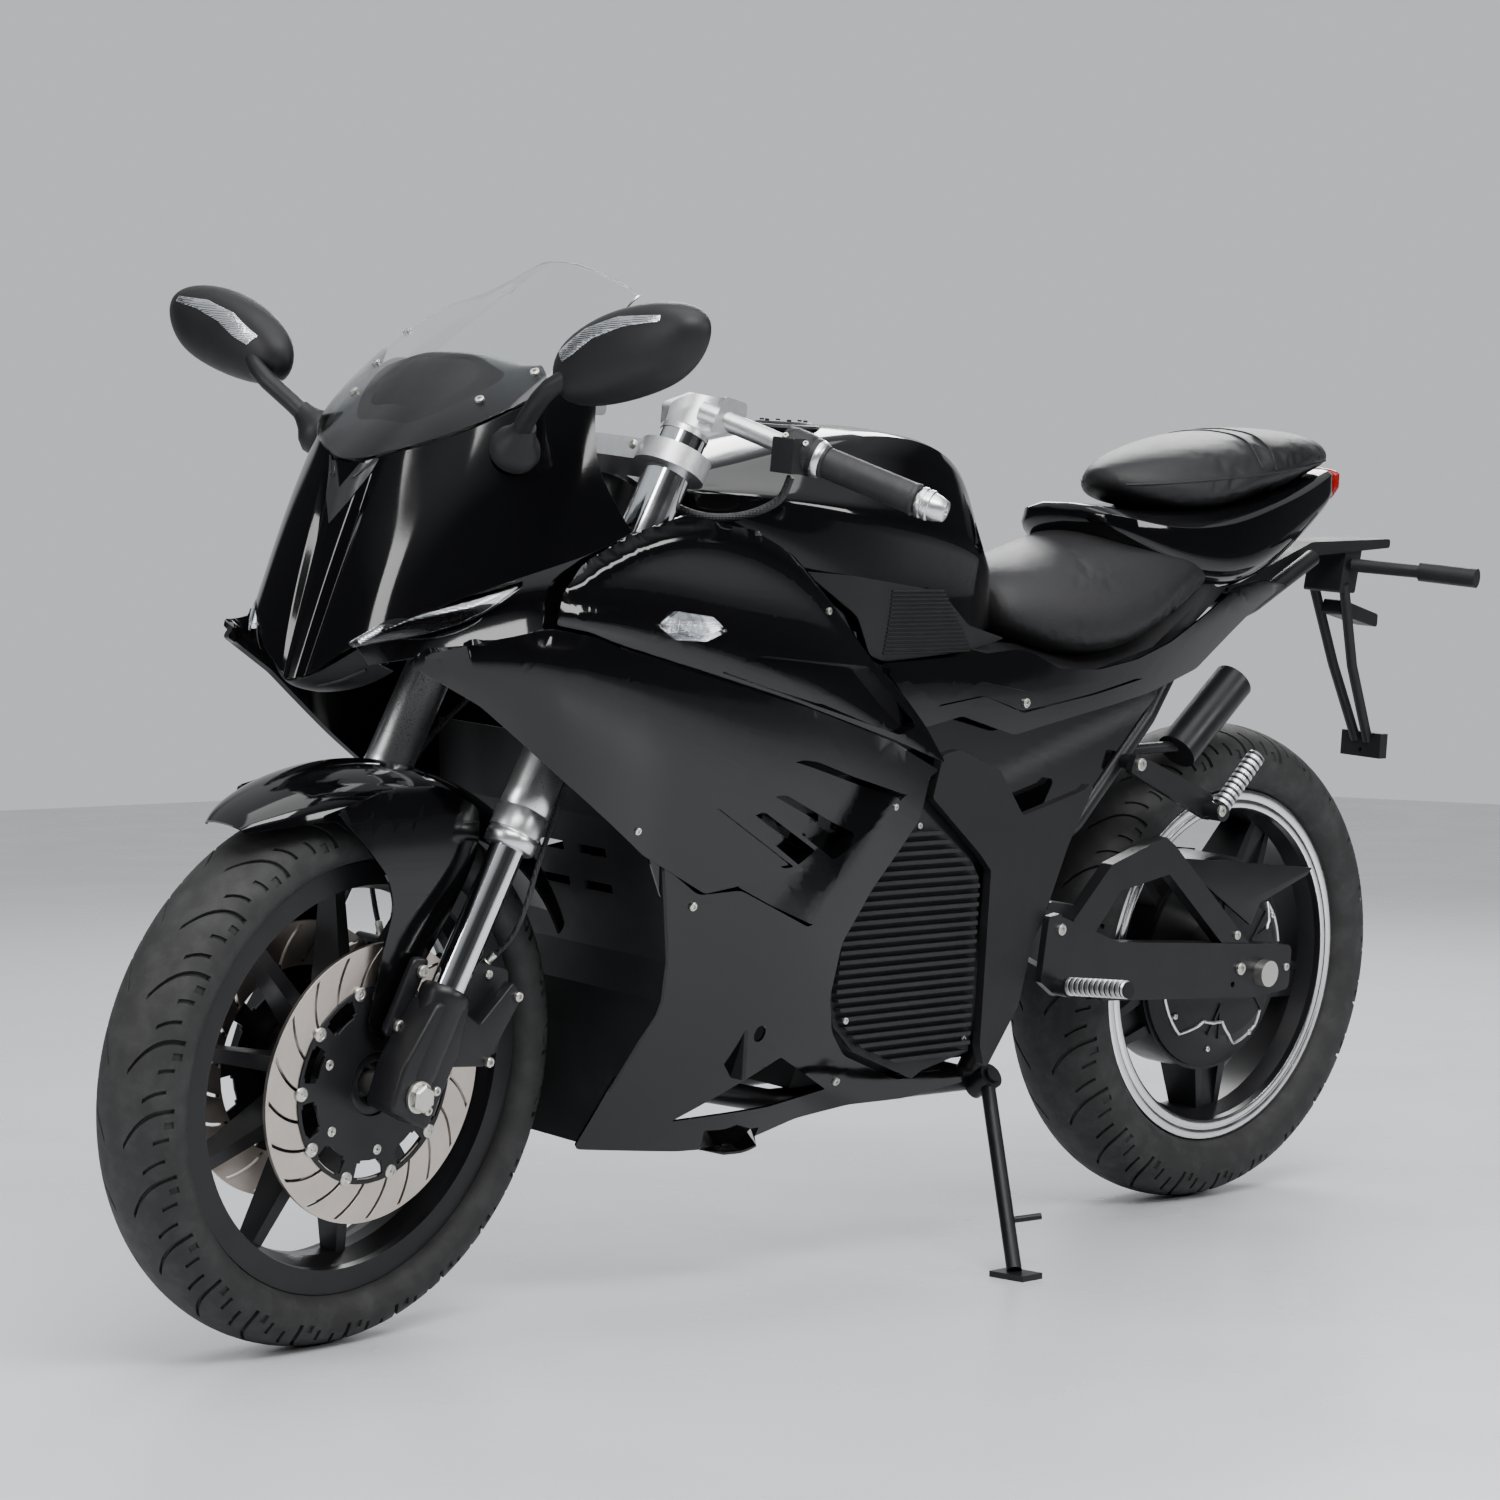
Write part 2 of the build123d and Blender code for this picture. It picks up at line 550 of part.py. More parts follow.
def section_body(table):
    """Symmetric body through six-sided sections."""
    wires = []
    for x, w0, z0, w1, z1, w2, z2 in table:
        ring = [(w0, z0), (w1, z1), (w2, z2), (-w2, z2), (-w1, z1), (-w0, z0)]
        wires.append(Wire(Polyline(*[Vector(x, y, z) for y, z in ring], close=True).edges()))
    return Solid.make_loft(wires, ruled=True)


CAP_PLACE = Vector(100, 0, 978)


def tank():
    body = section_body(TANK)
    recess = Solid.make_cylinder(36, 40, Plane(origin=(100, 0, 966)))
    body = body - recess
    add("tank_cover", body)
    cap = Solid.make_cylinder(34, 9, Plane(origin=(100, 0, 970)))
    add("charge_cap", cap)


def knee_panels():
    plate = side_plate([(118, 827), (-40, 809), (-91, 776), (-182, 756), (-94, 741), (72, 736)], 100, 152, 8)
    plate = plate - section_body([(x, w0 + 0.4, z0, w1 + 0.4, z1, w2, z2) for x, w0, z0, w1, z1, w2, z2 in TANK])
    add("knee_panels", both_sides(plate))


SEAT_PANEL = [(70, 728), (-90, 734), (-182, 740), (-206, 736), (-259, 714), (-330, 710), (-400, 718),
              (-520, 758), (-592, 806), (-640, 812), (-690, 800), (-634, 771), (-468, 659), (-330, 610), (-200, 639), (-91, 664), (-8, 652)]


def seat_panels():
    plate = side_plate(SEAT_PANEL, 106, 132, 4)
    add("seat_panels", both_sides(plate))


RIDER = [
    (-215, 70, 752, 74, 800, 30, 816),
    (-290, 104, 724, 108, 800, 60, 826),
    (-400, 128, 728, 130, 830, 80, 858),
    (-520, 122, 770, 124, 860, 80, 892),
    (-592, 96, 820, 98, 872, 60, 900),
]
PASSENGER = [
    (-385, 56, 916, 60, 932, 40, 948),
    (-440, 96, 896, 100, 925, 60, 966),
    (-600, 108, 914, 110, 945, 70, 992),
    (-760, 104, 946, 106, 968, 60, 1008),
    (-862, 60, 974, 62, 986, 30, 1006),
]
TAIL = [
    (-390, 70, 880, 74, 900, 50, 914),
    (-470, 100, 800, 112, 860, 90, 890),
    (-640, 96, 790, 116, 880, 100, 910),
    (-780, 70, 850, 92, 920, 80, 942),
    (-870, 46, 900, 60, 950, 50, 968),
]


def seats_and_tail():
    add("rider_seat", section_body(RIDER))
    add("passenger_seat", section_body(PASSENGER))
    tail = section_body(TAIL)
    rider_room = section_body([(x, a + 2, b - 2, c + 2, d, e + 4, f + 2) for x, a, b, c, d, e, f in RIDER])
    pass_room = section_body([(x, a + 2, b - 1, c + 2, d, e + 2, f) for x, a, b, c, d, e, f in PASSENGER])
    panel_room = side_plate(SEAT_PANEL, 105.5, 140)
    tail = tail - rider_room - pass_room - panel_room - panel_room.mirror(Plane.XZ)
    tail = Solid(max(tail.solids(), key=lambda s: s.volume).wrapped) if len(tail.solids()) > 1 else tail
    add("tail_fairing", tail)
    lamp = section_body([(-871, 46, 900, 60, 950, 50, 968), (-905, 30, 930, 44, 958, 36, 972)])
    add("tail_lamp", lamp)


def tail_tidy():
    tray = side_plate([(-688, 806), (-860, 868), (-1031, 874), (-1031, 862), (-870, 850), (-760, 798.3),
                       (-688, 798.3)], -34, 34, 4)
    arm = side_plate([(-940, 862), (-975, 862), (-965, 800), (-930, 800)], -30, 30, 4)
    legs = []
    for side in (1, -1):
        legs.append(pipe([(-945, side * 26, 812), (-990, side * 16, 700), (-1046, side * 10, 596)], 7, 30))
    block = Box(16, 66, 34).moved(Location((PLATE_BOLT[0], 0, PLATE_BOLT[1])))
    cross = rod((-946, -30, 812), (-946, 30, 812), 8)
    lamp_arm = side_plate([(-960, 790), (-1040, 770), (-1040, 752), (-955, 770)], -16, 16, 4)
    whole = tray + arm + cross + block + legs[0] + legs[1] + lamp_arm
    whole = whole - rod((PLATE_BOLT[0] - 20, 0, PLATE_BOLT[1] - 8), (PLATE_BOLT[0] + 20, 0, PLATE_BOLT[1] - 8),
                        PLATE_BOLT_R)
    add("tail_tidy", whole)
    stalk = rod((-950, 33.8, 838), (-985, 120, 836), 9) + rod((-985, 120, 836), (-1006, 196, 833), 13)
    add("rear_indicators", both_sides(stalk))


# Structure

STAND_PIVOT = Vector(-196, 112, 220)
STAND_FOOT = Vector(-97, 265.5, 22.2)
STAND_STOWED = Vector(-0.985, 0.09, -0.13)
STAND_DOWN = (STAND_FOOT - STAND_PIVOT).normalized()
STAND_AXIS = STAND_DOWN.cross(STAND_STOWED.normalized()).normalized()
STAND_PIN_R = 6.0
STAND_EYE_HALF = 9.0
PIVOT = (-255, 404)  # swingarm pivot, x and z
PIVOT_R = 12.0
STEM_R = 15.0


def frame_parts():
    head = rod(on_fork(516, 0, -FORK_OFFSET), on_fork(716, 0, -FORK_OFFSET), 29)
    frame = head
    for side in (1, -1):
        top = pipe([on_fork(610, side * 14, -FORK_OFFSET - 22), (180, side * 62, 716), (-160, side * 84, 640),
                    (-228, side * 72, 470), (-258, side * 72, 300), (-200, side * 74, 214)], 16, 60)
        low = pipe([on_fork(540, side * 14, -FORK_OFFSET - 22), (330, side * 60, 560), (262, side * 62, 245),
                    (120, side * 62, 214), (-200, side * 78, 214)], 14, 50)
        stub = rod((-228, side * 72, 470), (-228, side * 133.7, 470), 9)
        frame = frame + top + low + stub
    for x, y, z, r in ((-200, 78, 214, 14), (-160, 84, 640, 14), (262, 62, 262, 12)):
        frame = frame + rod((x, -y, z), (x, y, z), r)
    frame = frame + rod((PIVOT[0], -120, PIVOT[1]), (PIVOT[0], 120, PIVOT[1]), PIVOT_R)
    lug = rod(STAND_PIVOT - STAND_AXIS * 26, STAND_PIVOT - STAND_AXIS * (STAND_EYE_HALF + 0.5), 13)
    pin = rod(STAND_PIVOT - STAND_AXIS * 12, STAND_PIVOT + STAND_AXIS * 12, STAND_PIN_R)
    pin_head = rod(STAND_PIVOT + STAND_AXIS * (STAND_EYE_HALF + 0.5), STAND_PIVOT + STAND_AXIS * 14, 10)
    frame = frame + lug + pin + pin_head
    frame = frame - rod(on_fork(460, 0, -FORK_OFFSET), on_fork(800, 0, -FORK_OFFSET), STEM_R + 0.05)
    add("frame", frame)

    rails = None
    for side in (1, -1):
        upper = pipe([(-178, side * 78, 655), (-420, side * 78, 700), (-700, side * 66, 788), (-840, side * 50, 848)], 11, 60)
        lower = pipe([(-252, side * 78, 470), (-343, side * 92, 520), (-469, side * 92, 650), (-560, side * 74, 752)], 13, 40)
        rails = upper + lower if rails is None else rails + upper + lower
    for x, y, z in ((-420, 105.7, 700), (-700, 66, 788)):
        rails = rails + rod((x, -y, z), (x, y, z), 10)
    add("seat_frame", rails)

    case = Polyline(*[Vector(100, y, z) for y, z in
                      ((-72, 228.3), (-112, 330), (-124, 350), (-124, 570), (124, 570), (124, 350),
                       (112, 330), (72, 228.3))], close=True)
    case = extrude(make_face(case), amount=236, dir=(-1, 0, 0))
    case = case - rod((-160, -90, 640), (-160, 90, 640), 16)
    add("battery_case", case)
    covers = []
    for side in (1, -1):
        plate = side_plate(COVER, *sorted((side * 124.2, side * 131)))
        band = side_plate(COVER_RIBS, *sorted((side * 131, side * COVER_Y)))
        ribs = None
        for i in range(RIB_COUNT):
            rib = Box(300, 40, RIB_T).moved(Location((-10, side * 131, RIB_LOW + RIB_PITCH * i)))
            ribs = rib if ribs is None else ribs + rib
        covers.append(plate + (ribs & band))
    add("battery_covers", covers)


COVER = [(58, 278), (92, 309), (107, 350), (104, 408), (64, 468), (-10, 545), (-32, 558), (-120, 494),
         (-138, 470), (-138, 262), (-60, 246), (-44, 238)]
COVER_RIBS = [(54, 284), (86, 312), (100, 350), (97, 406), (60, 462), (-12, 536), (-33, 548), (-114, 490),
              (-130, 466), (-130, 268), (-60, 252), (-44, 246)]
COVER_Y = 141.0
RIB_COUNT = 25
RIB_PITCH = 11.0
RIB_LOW = 264.0
RIB_T = 4.5


def frame_covers():
    outline = [(-47, 620), (-75, 625), (-147, 599), (-193, 543), (-300, 570), (-326, 588), (-278, 505),
               (-238, 410), (-224, 392), (-206, 314), (-154, 240), (-142, 270), (-142, 480), (-122, 500), (-34, 570)]
    plate = side_plate(outline, 134, 146, 5)
    add("frame_covers", both_sides(plate))


STAND_HOLE = (-652, 302)  # threaded hole for a paddock stand's bobbin, x and z
STAND_HOLE_R = 4.0
STAND_HOLE_DEPTH = 16.0
PLATE_BOLT = (-1052, 590)  # hole through the plate holder's block, x and z
PLATE_BOLT_R = 3.0


def swingarm():
    arm_half = 108.0
    parts = []
    for side in (1, -1):
        beam = side_plate([(-238, 372), (-238, 436), (-420, 372), (-700, 352), (-770, 346), (-770, 288),
                           (-700, 282), (-400, 300)], *sorted((side * 92, side * 116)), 10)
        brace = side_plate([(-330, 400), (-400, 470), (-500, 500), (-520, 488), (-660, 372), (-700, 340), (-676, 330),
                            (-640, 346), (-512, 452), (-420, 436), (-370, 380)], *sorted((side * 96, side * 114)), 6)
        parts.append(beam + brace)
    cross = side_plate([(-300, 376), (-300, 428), (-368, 418), (-368, 366)], -100, 100, 8)
    whole = parts[0] + parts[1] + cross
    for side in (1, -1):
        whole = whole + rod((PIVOT[0], side * 91, PIVOT[1]), (PIVOT[0], side * 117, PIVOT[1]), 24)
    whole = whole - rod((PIVOT[0], -200, PIVOT[1]), (PIVOT[0], 200, PIVOT[1]), PIVOT_R + 0.05)
    whole = whole - at(ring_y(11.05, 0, -200, 200), REAR_AXLE)
    for side in (1, -1):
        whole = whole - rod((STAND_HOLE[0], side * (116 - STAND_HOLE_DEPTH), STAND_HOLE[1]),
                            (STAND_HOLE[0], side * 120, STAND_HOLE[1]), STAND_HOLE_R)
    add("swingarm", whole)
    axle = ring_y(11, 0, -128, 128) + ring_y(17, 0, 116.2, 130) + ring_y(17, 0, -130, -116.2)
    spacers = ring_y(18, 10.5, 66.5, 91.8) + ring_y(18, 10.5, -91.8, -72.5)
    add("rear_axle", at(axle + spacers, REAR_AXLE))


def rear_shock():
    top = Vector(-290, 0, 640)
    low = Vector(-336, 0, 434)
    axis = low - top
    body = rod(top, low, 17)
    for i in range(6):
        c = top + axis * (0.22 + 0.1 * i)
        ring = rod(c, c + axis * 0.045, 31)
        body = body + ring
    body = body + rod(top + axis * 0.12, top + axis * 0.18, 33) + rod(top + axis * 0.78, top + axis * 0.84, 33)
    hose = pipe([top + axis * 0.08, (-350, 24, 642), (-450, 76, 606), (-546, 90, 611)], 7, 30)
    reservoir = rod((-538, 90, 604), (-642, 90, 692), 26)
    add("rear_shock", body + hose + reservoir)


def pegs():
    rider, passenger = [], []
    plate = side_plate([(-240, 420), (-262, 424), (-284, 330), (-262, 322), (-232, 342)], 146.3, 156, 5)
    peg = rod((-262, 152, 334), (-262, 176, 334), 10) + rod((-262, 172, 338), (-262, 268, 348), 10)
    rider = both_sides(plate + peg)
    add("rider_pegs", rider)
    arm = side_plate([(-410, 610), (-402, 586), (-560, 520), (-572, 540), (-560, 556)], 122, 132, 4)
    link = rod((-418, 105.3, 597), (-418, 132, 597), 9)
    boss = rod((-558, 122, 534), (-558, 156, 534), 12)
    bar = rod((-558, 146, 534), (-622, 152, 604), 11)
    add("passenger_pegs", both_sides(arm + link + boss + bar))
    pedal = pipe([(-262, -162, 370), (-180, -168, 330), (-120, -168, 322)], 6, 30)
    pedal = pedal + rod((-262, -156.5, 370), (-262, -170, 370), 9) + rod((-120, -158, 322), (-120, -190, 322), 7)
    add("brake_pedal", pedal)


def rear_caliper():
    body = side_plate([(-610, 370), (-590, 430), (-640, 446), (-664, 396)], -88, -52, 6)
    slot = at(ring_y(126, 0, -74.5, -65), REAR_AXLE)
    bracket = side_plate([(-604, 376), (-720, 340), (-700, 300), (-600, 350)], -90.5, -84, 5)
    body = (body - slot) + bracket - at(ring_y(19, 0, -100, -60), REAR_AXLE)
    add("rear_caliper", body)


def side_stand():
    leg = rod(STAND_PIVOT + STAND_DOWN * 10, STAND_FOOT + Vector(0, -3, 8), STAND_EYE_HALF)
    eye = rod(STAND_PIVOT - STAND_AXIS * STAND_EYE_HALF, STAND_PIVOT + STAND_AXIS * STAND_EYE_HALF, 16)
    tab_root = STAND_PIVOT + (STAND_FOOT - STAND_PIVOT) * 0.72
    tab = rod(tab_root, tab_root + Vector(-34, 22, 6), 4)
    pin_room = rod(STAND_PIVOT - STAND_AXIS * 30, STAND_PIVOT + STAND_AXIS * 30, STAND_PIN_R + 0.05)
    return eye + leg + tab - pin_room


# Placing: steering turned, machine leaned, both tyres and the stand's foot on the floor

def ring_low(centre, axis, ring_r, tube_r):
    return centre.Z - ring_r * math.sqrt(1 - axis.Z ** 2) - tube_r


def lean_vector(v):
    a = math.radians(PARK_LEAN)
    return Vector(v.X, v.Y * math.cos(a) + v.Z * math.sin(a), -v.Y * math.sin(a) + v.Z * math.cos(a))


FRONT_CROWN = 52.0
REAR_CROWN = 66.0
steer_axis = Axis(STEER_BASE, STEER_DIR)
front_centre = Vertex(*FRONT_AXLE).rotate(steer_axis, PARK_STEER).center()
front_side = Vertex(*(FRONT_AXLE + Vector(0, 1, 0))).rotate(steer_axis, PARK_STEER).center()
front_low = ring_low(lean_vector(front_centre), lean_vector(front_side - front_centre), FRONT_R - FRONT_CROWN, FRONT_CROWN)
rear_low = ring_low(lean_vector(REAR_AXLE), lean_vector(Vector(0, 1, 0)), REAR_R - REAR_CROWN, REAR_CROWN)
PITCH = math.degrees(math.atan2(front_low - rear_low, WHEELBASE))
LIFT = -(front_low + rear_low) / 2


def park(shape, turned=False):
    if turned:
        shape = shape.rotate(steer_axis, PARK_STEER)
    shape = shape.rotate(Axis.X, -PARK_LEAN)
    shape = shape.rotate(Axis.Y, PITCH)
    return shape.moved(Location((-ORIGIN_X, -ORIGIN_Y, LIFT)))


def park_point(v, turned=False):
    return park(Vertex(*v), turned).center()


def park_dir(v, turned=False):
    return (park_point(v, turned) - park_point(Vector(0, 0, 0), turned)).normalized()


# Clear spaces, upright: name, low corner, high corner
OPENINGS = [
    ("frame_bay", (120, -40, 270), (230, 40, 530)),
    ("belly_space", (140, -60, 178), (300, 60, 196)),
    ("nose_space", (590, -80, 835), (665, 80, 872)),
    ("lower_fairing_slot_left", (130, 84, 226), (200, 160, 256)),
    ("lower_fairing_slot_right", (130, -160, 226), (200, -84, 256)),
    ("swingarm_window_left", (-528, 84, 382), (-440, 126, 424)),
    ("swingarm_window_right", (-528, -126, 382), (-440, -84, 424)),
    ("seat_frame_window_left", (-400, 60, 596), (-340, 100, 660)),
    ("seat_frame_window_right", (-400, -100, 596), (-340, -60, 660)),
]

front_wheel()
rear_wheel()
fork()
handlebars()
front_fender()
front_calipers()
side_fairings()
vent_scoops()
upper_panels()
lower_fairings()
inner_panel()
nose()
indicators()
mirrors()
tank()
knee_panels()
seat_panels()
seats_and_tail()
tail_tidy()
frame_parts()
frame_covers()
swingarm()
rear_shock()
pegs()
rear_caliper()

placed = {}
for name, solids in nodes.items():
    placed[name] = [park(s, name in steered) for s in solids]

foot = park_point(STAND_FOOT)
pad = Box(34, 52, 7).moved(Location((foot.X, foot.Y, 3.5)))
placed["side_stand"] = (park(side_stand()) + pad).solids()

os.makedirs("parts", exist_ok=True)
for name, solids in placed.items():
    export_step(Compound(children=[Solid(s.wrapped) for s in solids]), f"parts/{name}.step")

print("steering", tuple(park_point(STEER_BASE)), tuple(park_dir(STEER_DIR)))
print("front_axle", tuple(park_point(FRONT_AXLE, True)), tuple(park_dir(Vector(0, 1, 0), True)))
print("rear_axle", tuple(park_point(REAR_AXLE)), tuple(park_dir(Vector(0, 1, 0))))
print("stand", tuple(park_point(STAND_PIVOT)), tuple(park_dir(STAND_AXIS)),
      STAND_DOWN.get_angle(STAND_STOWED))
print("cap", tuple(park_point(CAP_PLACE)), tuple(park_dir(Vector(0, 1, 0))))
for side, word in ((1, "left"), (-1, "right")):
    print("bobbin_" + word, tuple(park_point(Vector(STAND_HOLE[0], side * (116 - STAND_HOLE_DEPTH / 2), STAND_HOLE[1]))),
          tuple(park_dir(Vector(0, side, 0))))
print("plate_bolt", tuple(park_point(Vector(PLATE_BOLT[0], 0, PLATE_BOLT[1] - 8))), tuple(park_dir(Vector(-1, 0, 0))))
for name, low, high in OPENINGS:
    middle = park_point((Vector(*low) + Vector(*high)) * 0.5)
    half = (Vector(*high) - Vector(*low)) * 0.5
    tilt = math.sin(math.radians(PARK_LEAN))
    size = Vector(half.X, half.Y, half.Z - half.Y * tilt)
    print("opening", name, tuple(middle - size), tuple(middle + size))
box = Compound(children=[Solid(s.wrapped) for solids in placed.values() for s in solids]).bounding_box()
print("box", tuple(box.min), tuple(box.max), "low", front_low, rear_low, PITCH, LIFT)
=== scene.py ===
"""Looks of a faired electric sport motorcycle that leans on its side stand.

Tables are in millimetres in the upright machine: +X forward, +Y to the rider's left, +Z up,
origin on the ground below the middle of the wheelbase. MACHINE and FRONT carry them into the
parked frame, FRONT for what turns with the handlebars.
"""
import bmesh
import bpy
import json
import math
from bmesh.types import BMEdge, BMFace, BMVert
from mathutils import Matrix, Vector
from mathutils.bvhtree import BVHTree


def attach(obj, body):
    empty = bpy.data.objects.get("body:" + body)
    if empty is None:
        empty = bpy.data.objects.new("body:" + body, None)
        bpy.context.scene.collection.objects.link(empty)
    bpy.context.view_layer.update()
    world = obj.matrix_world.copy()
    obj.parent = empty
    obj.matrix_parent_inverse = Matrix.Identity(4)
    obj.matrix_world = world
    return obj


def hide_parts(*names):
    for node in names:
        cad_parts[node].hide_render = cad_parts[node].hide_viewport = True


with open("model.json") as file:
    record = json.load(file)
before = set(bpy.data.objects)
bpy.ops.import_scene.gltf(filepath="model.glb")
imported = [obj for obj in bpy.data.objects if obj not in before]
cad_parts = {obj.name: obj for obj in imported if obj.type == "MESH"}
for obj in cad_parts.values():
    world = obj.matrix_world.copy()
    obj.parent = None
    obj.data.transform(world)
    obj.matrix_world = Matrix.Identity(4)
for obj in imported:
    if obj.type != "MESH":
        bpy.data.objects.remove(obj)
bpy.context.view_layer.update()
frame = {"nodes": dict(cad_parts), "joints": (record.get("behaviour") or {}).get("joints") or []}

# Driving sizes of the machine
MM = 0.001
WHEELBASE = 1420.0
FRONT_R = 292.9
REAR_R = 313.9
RAKE = math.radians(26.5)
FORK_OFFSET = 40.0
FORK_HALF = 108.0
PANEL_T = 3.0
FRONT_AXLE = Vector((WHEELBASE / 2, 0, FRONT_R))
REAR_AXLE = Vector((-WHEELBASE / 2, 0, REAR_R))
STEER_DIR = Vector((-math.sin(RAKE), 0, math.cos(RAKE)))
STEER_AHEAD = Vector((math.cos(RAKE), 0, math.sin(RAKE)))
STEER_BASE = FRONT_AXLE - Vector((FORK_OFFSET / math.cos(RAKE), 0, 0))
SIDES = (1, -1)
UP = (0, 0, 1)
LEFT = (0, 1, 0)
STEERED = ("steering", "front_wheel")
# Places outside the machine that rays start from, and near its skin
FAR_OUT = 600
NEAR_OUT = 200

joint = {j["name"]: j for j in frame["joints"]}


def machine_matrix():
    """Upright millimetres to the parked frame, read from the rear axle and the steering."""
    side = Vector(joint["rear_wheel_spin"]["axis"]).normalized()
    steer = Vector(joint["steering_turn"]["axis"]).normalized()
    ahead = side.cross(steer)
    x_dir = ahead * math.cos(RAKE) - steer * math.sin(RAKE)
    z_dir = ahead * math.sin(RAKE) + steer * math.cos(RAKE)
    turn = Matrix((x_dir, side, z_dir)).transposed().to_4x4() @ Matrix.Scale(MM, 4)
    shift = Vector(joint["rear_wheel_spin"]["pos_m"]) - turn @ REAR_AXLE
    return Matrix.Translation(shift) @ turn


MACHINE = machine_matrix()
parked_turn = Vector(joint["front_wheel_spin"]["axis"]).angle(Vector(joint["rear_wheel_spin"]["axis"]))
FRONT = (MACHINE @ Matrix.Translation(STEER_BASE) @ Matrix.Rotation(parked_turn, 4, STEER_DIR)
         @ Matrix.Translation(-STEER_BASE))


def on_fork(s, y=0.0, ahead=0.0):
    """Point at distance s up the fork line from the axle."""
    return FRONT_AXLE + STEER_DIR * s + STEER_AHEAD * ahead + Vector((0, y, 0))


def polar(centre, angle, radius, y):
    """Place at an angle from straight ahead, upwards, round a wheel's centre."""
    a = math.radians(angle)
    return centre + Vector((radius * math.cos(a), y, radius * math.sin(a)))


# Scene data


def added(name, data):
    """A new object in the scene."""
    made = bpy.data.objects.new(name, data)
    bpy.context.scene.collection.objects.link(made)
    return made


def aimed(name, data, place, way):
    """A new camera or lamp at a place, looking along a way."""
    made = added(name, data)
    made.location = place
    made.rotation_mode = "QUATERNION"
    made.rotation_quaternion = way.to_track_quat("-Z", "Y")
    return made


def as_mesh(name, bm):
    """Mesh data of a bmesh, which is freed."""
    mesh = bpy.data.meshes.new(name)
    bm.to_mesh(mesh)
    bm.free()
    return mesh


def evaluated(made):
    """Mesh data of an object with its modifiers applied."""
    graph = bpy.context.evaluated_depsgraph_get()
    return bpy.data.meshes.new_from_object(made.evaluated_get(graph))


# Camera fitted to the wheels' ellipses, the axles and the discs
CAMERA_PLACE = (3.068, 2.988, 0.7765)
CAMERA_AZIMUTH = math.radians(-133.926)
CAMERA_ELEVATION = math.radians(-2.246)
CAMERA_LENS = 87.6
SENSOR = 36.0


def camera():
    """The camera that took the photo, as fitted."""
    data = bpy.data.cameras.new("camera")
    data.lens = CAMERA_LENS
    data.sensor_width = SENSOR
    flat = math.cos(CAMERA_ELEVATION)
    look = Vector((flat * math.cos(CAMERA_AZIMUTH), flat * math.sin(CAMERA_AZIMUTH),
                   math.sin(CAMERA_ELEVATION)))
    bpy.context.scene.camera = aimed("camera", data, CAMERA_PLACE, look)


# Shader arithmetic


class Value:
    """A shader socket that takes part in plain arithmetic."""

    def __init__(self, graph, socket):
        self.graph = graph
        self.socket = socket

    def __add__(self, other):
        return self.graph.maths("ADD", self, other)

    def __sub__(self, other):
        return self.graph.maths("SUBTRACT", self, other)

    def __mul__(self, other):
        return self.graph.maths("MULTIPLY", self, other)

    def __truediv__(self, other):
        return self.graph.maths("DIVIDE", self, other)


class Graph:
    """A node tree being made. Sockets take numbers, colours of three parts or values."""

    def __init__(self, tree):
        self.tree = tree

    def put(self, socket, value):
        if isinstance(value, Value):
            self.tree.links.new(value.socket, socket)
        elif socket.type == "RGBA":
            socket.default_value = (*value, 1.0)
        else:
            socket.default_value = value

    def node(self, kind, settings=None, sockets=None, out=0):
        """Adds a node: its settings first, then the values or links of its sockets."""
        made = self.tree.nodes.new("ShaderNode" + kind)
        for key, value in (settings or {}).items():
            setattr(made, key, value)
        for key, value in (sockets or {}).items():
            self.put(made.inputs[key], value)
        return Value(self, made.outputs[out])

    def maths(self, operation, a, b, clamp=False):
        return self.node("Math", {"operation": operation, "use_clamp": clamp}, {0: a, 1: b})

    def ramp(self, value, low, high):
        """Grey ramp between two stops (place, brightness)."""
        return self.ramps(value, [low, high])

    def ramps(self, value, stops):
        made = self.node("ValToRGB", None, {"Fac": value})
        elements = made.socket.node.color_ramp.elements
        while len(elements) < len(stops):
            elements.new(0.5)
        for element, (place, grey) in zip(elements, stops):
            element.position = place
            element.color = (grey, grey, grey, 1.0)
        return made

    def blend(self, factor, low, high):
        return self.node("Mix", {"data_type": "RGBA"}, {0: factor, 6: low, 7: high}, out=2)


class Finish(Graph):
    """A material being made."""

    def __init__(self, name, **constants):
        self.material = bpy.data.materials.new(name)
        self.material.use_nodes = True
        super().__init__(self.material.node_tree)
        self.shader = self.tree.nodes["Principled BSDF"]
        self.set(**constants)

    def set(self, **values):
        for key, value in values.items():
            self.put(self.shader.inputs[key.replace("_", " ")], value)

    def place(self):
        return self.node("TexCoord", out=3)

    def noise(self, scale, detail=2.0, rough=0.5, vector=None):
        return self.node("TexNoise", None, {"Vector": vector or self.place(), "Scale": scale,
                                            "Detail": detail, "Roughness": rough})

    def tint(self, factor, low, high):
        self.set(Base_Color=self.blend(factor, low, high))

    def rough(self, value, low, high):
        self.set(Roughness=self.ramp(value, low, high))

    def smudge(self, base, spread, scale=9.0):
        """Roughness that drifts a little over a surface, as handled and dusty surfaces do."""
        self.rough(self.noise(scale, 5.0, 0.6), (0.35, base), (0.7, base + spread))

    def bump(self, height, depth, strength):
        self.set(Normal=self.node("Bump", None, {"Height": height, "Distance": depth, "Strength": strength}))


def shade(colour, factor, lift=0.0):
    """A colour made darker or lighter."""
    return tuple(min(1.0, c * factor + lift) for c in colour)


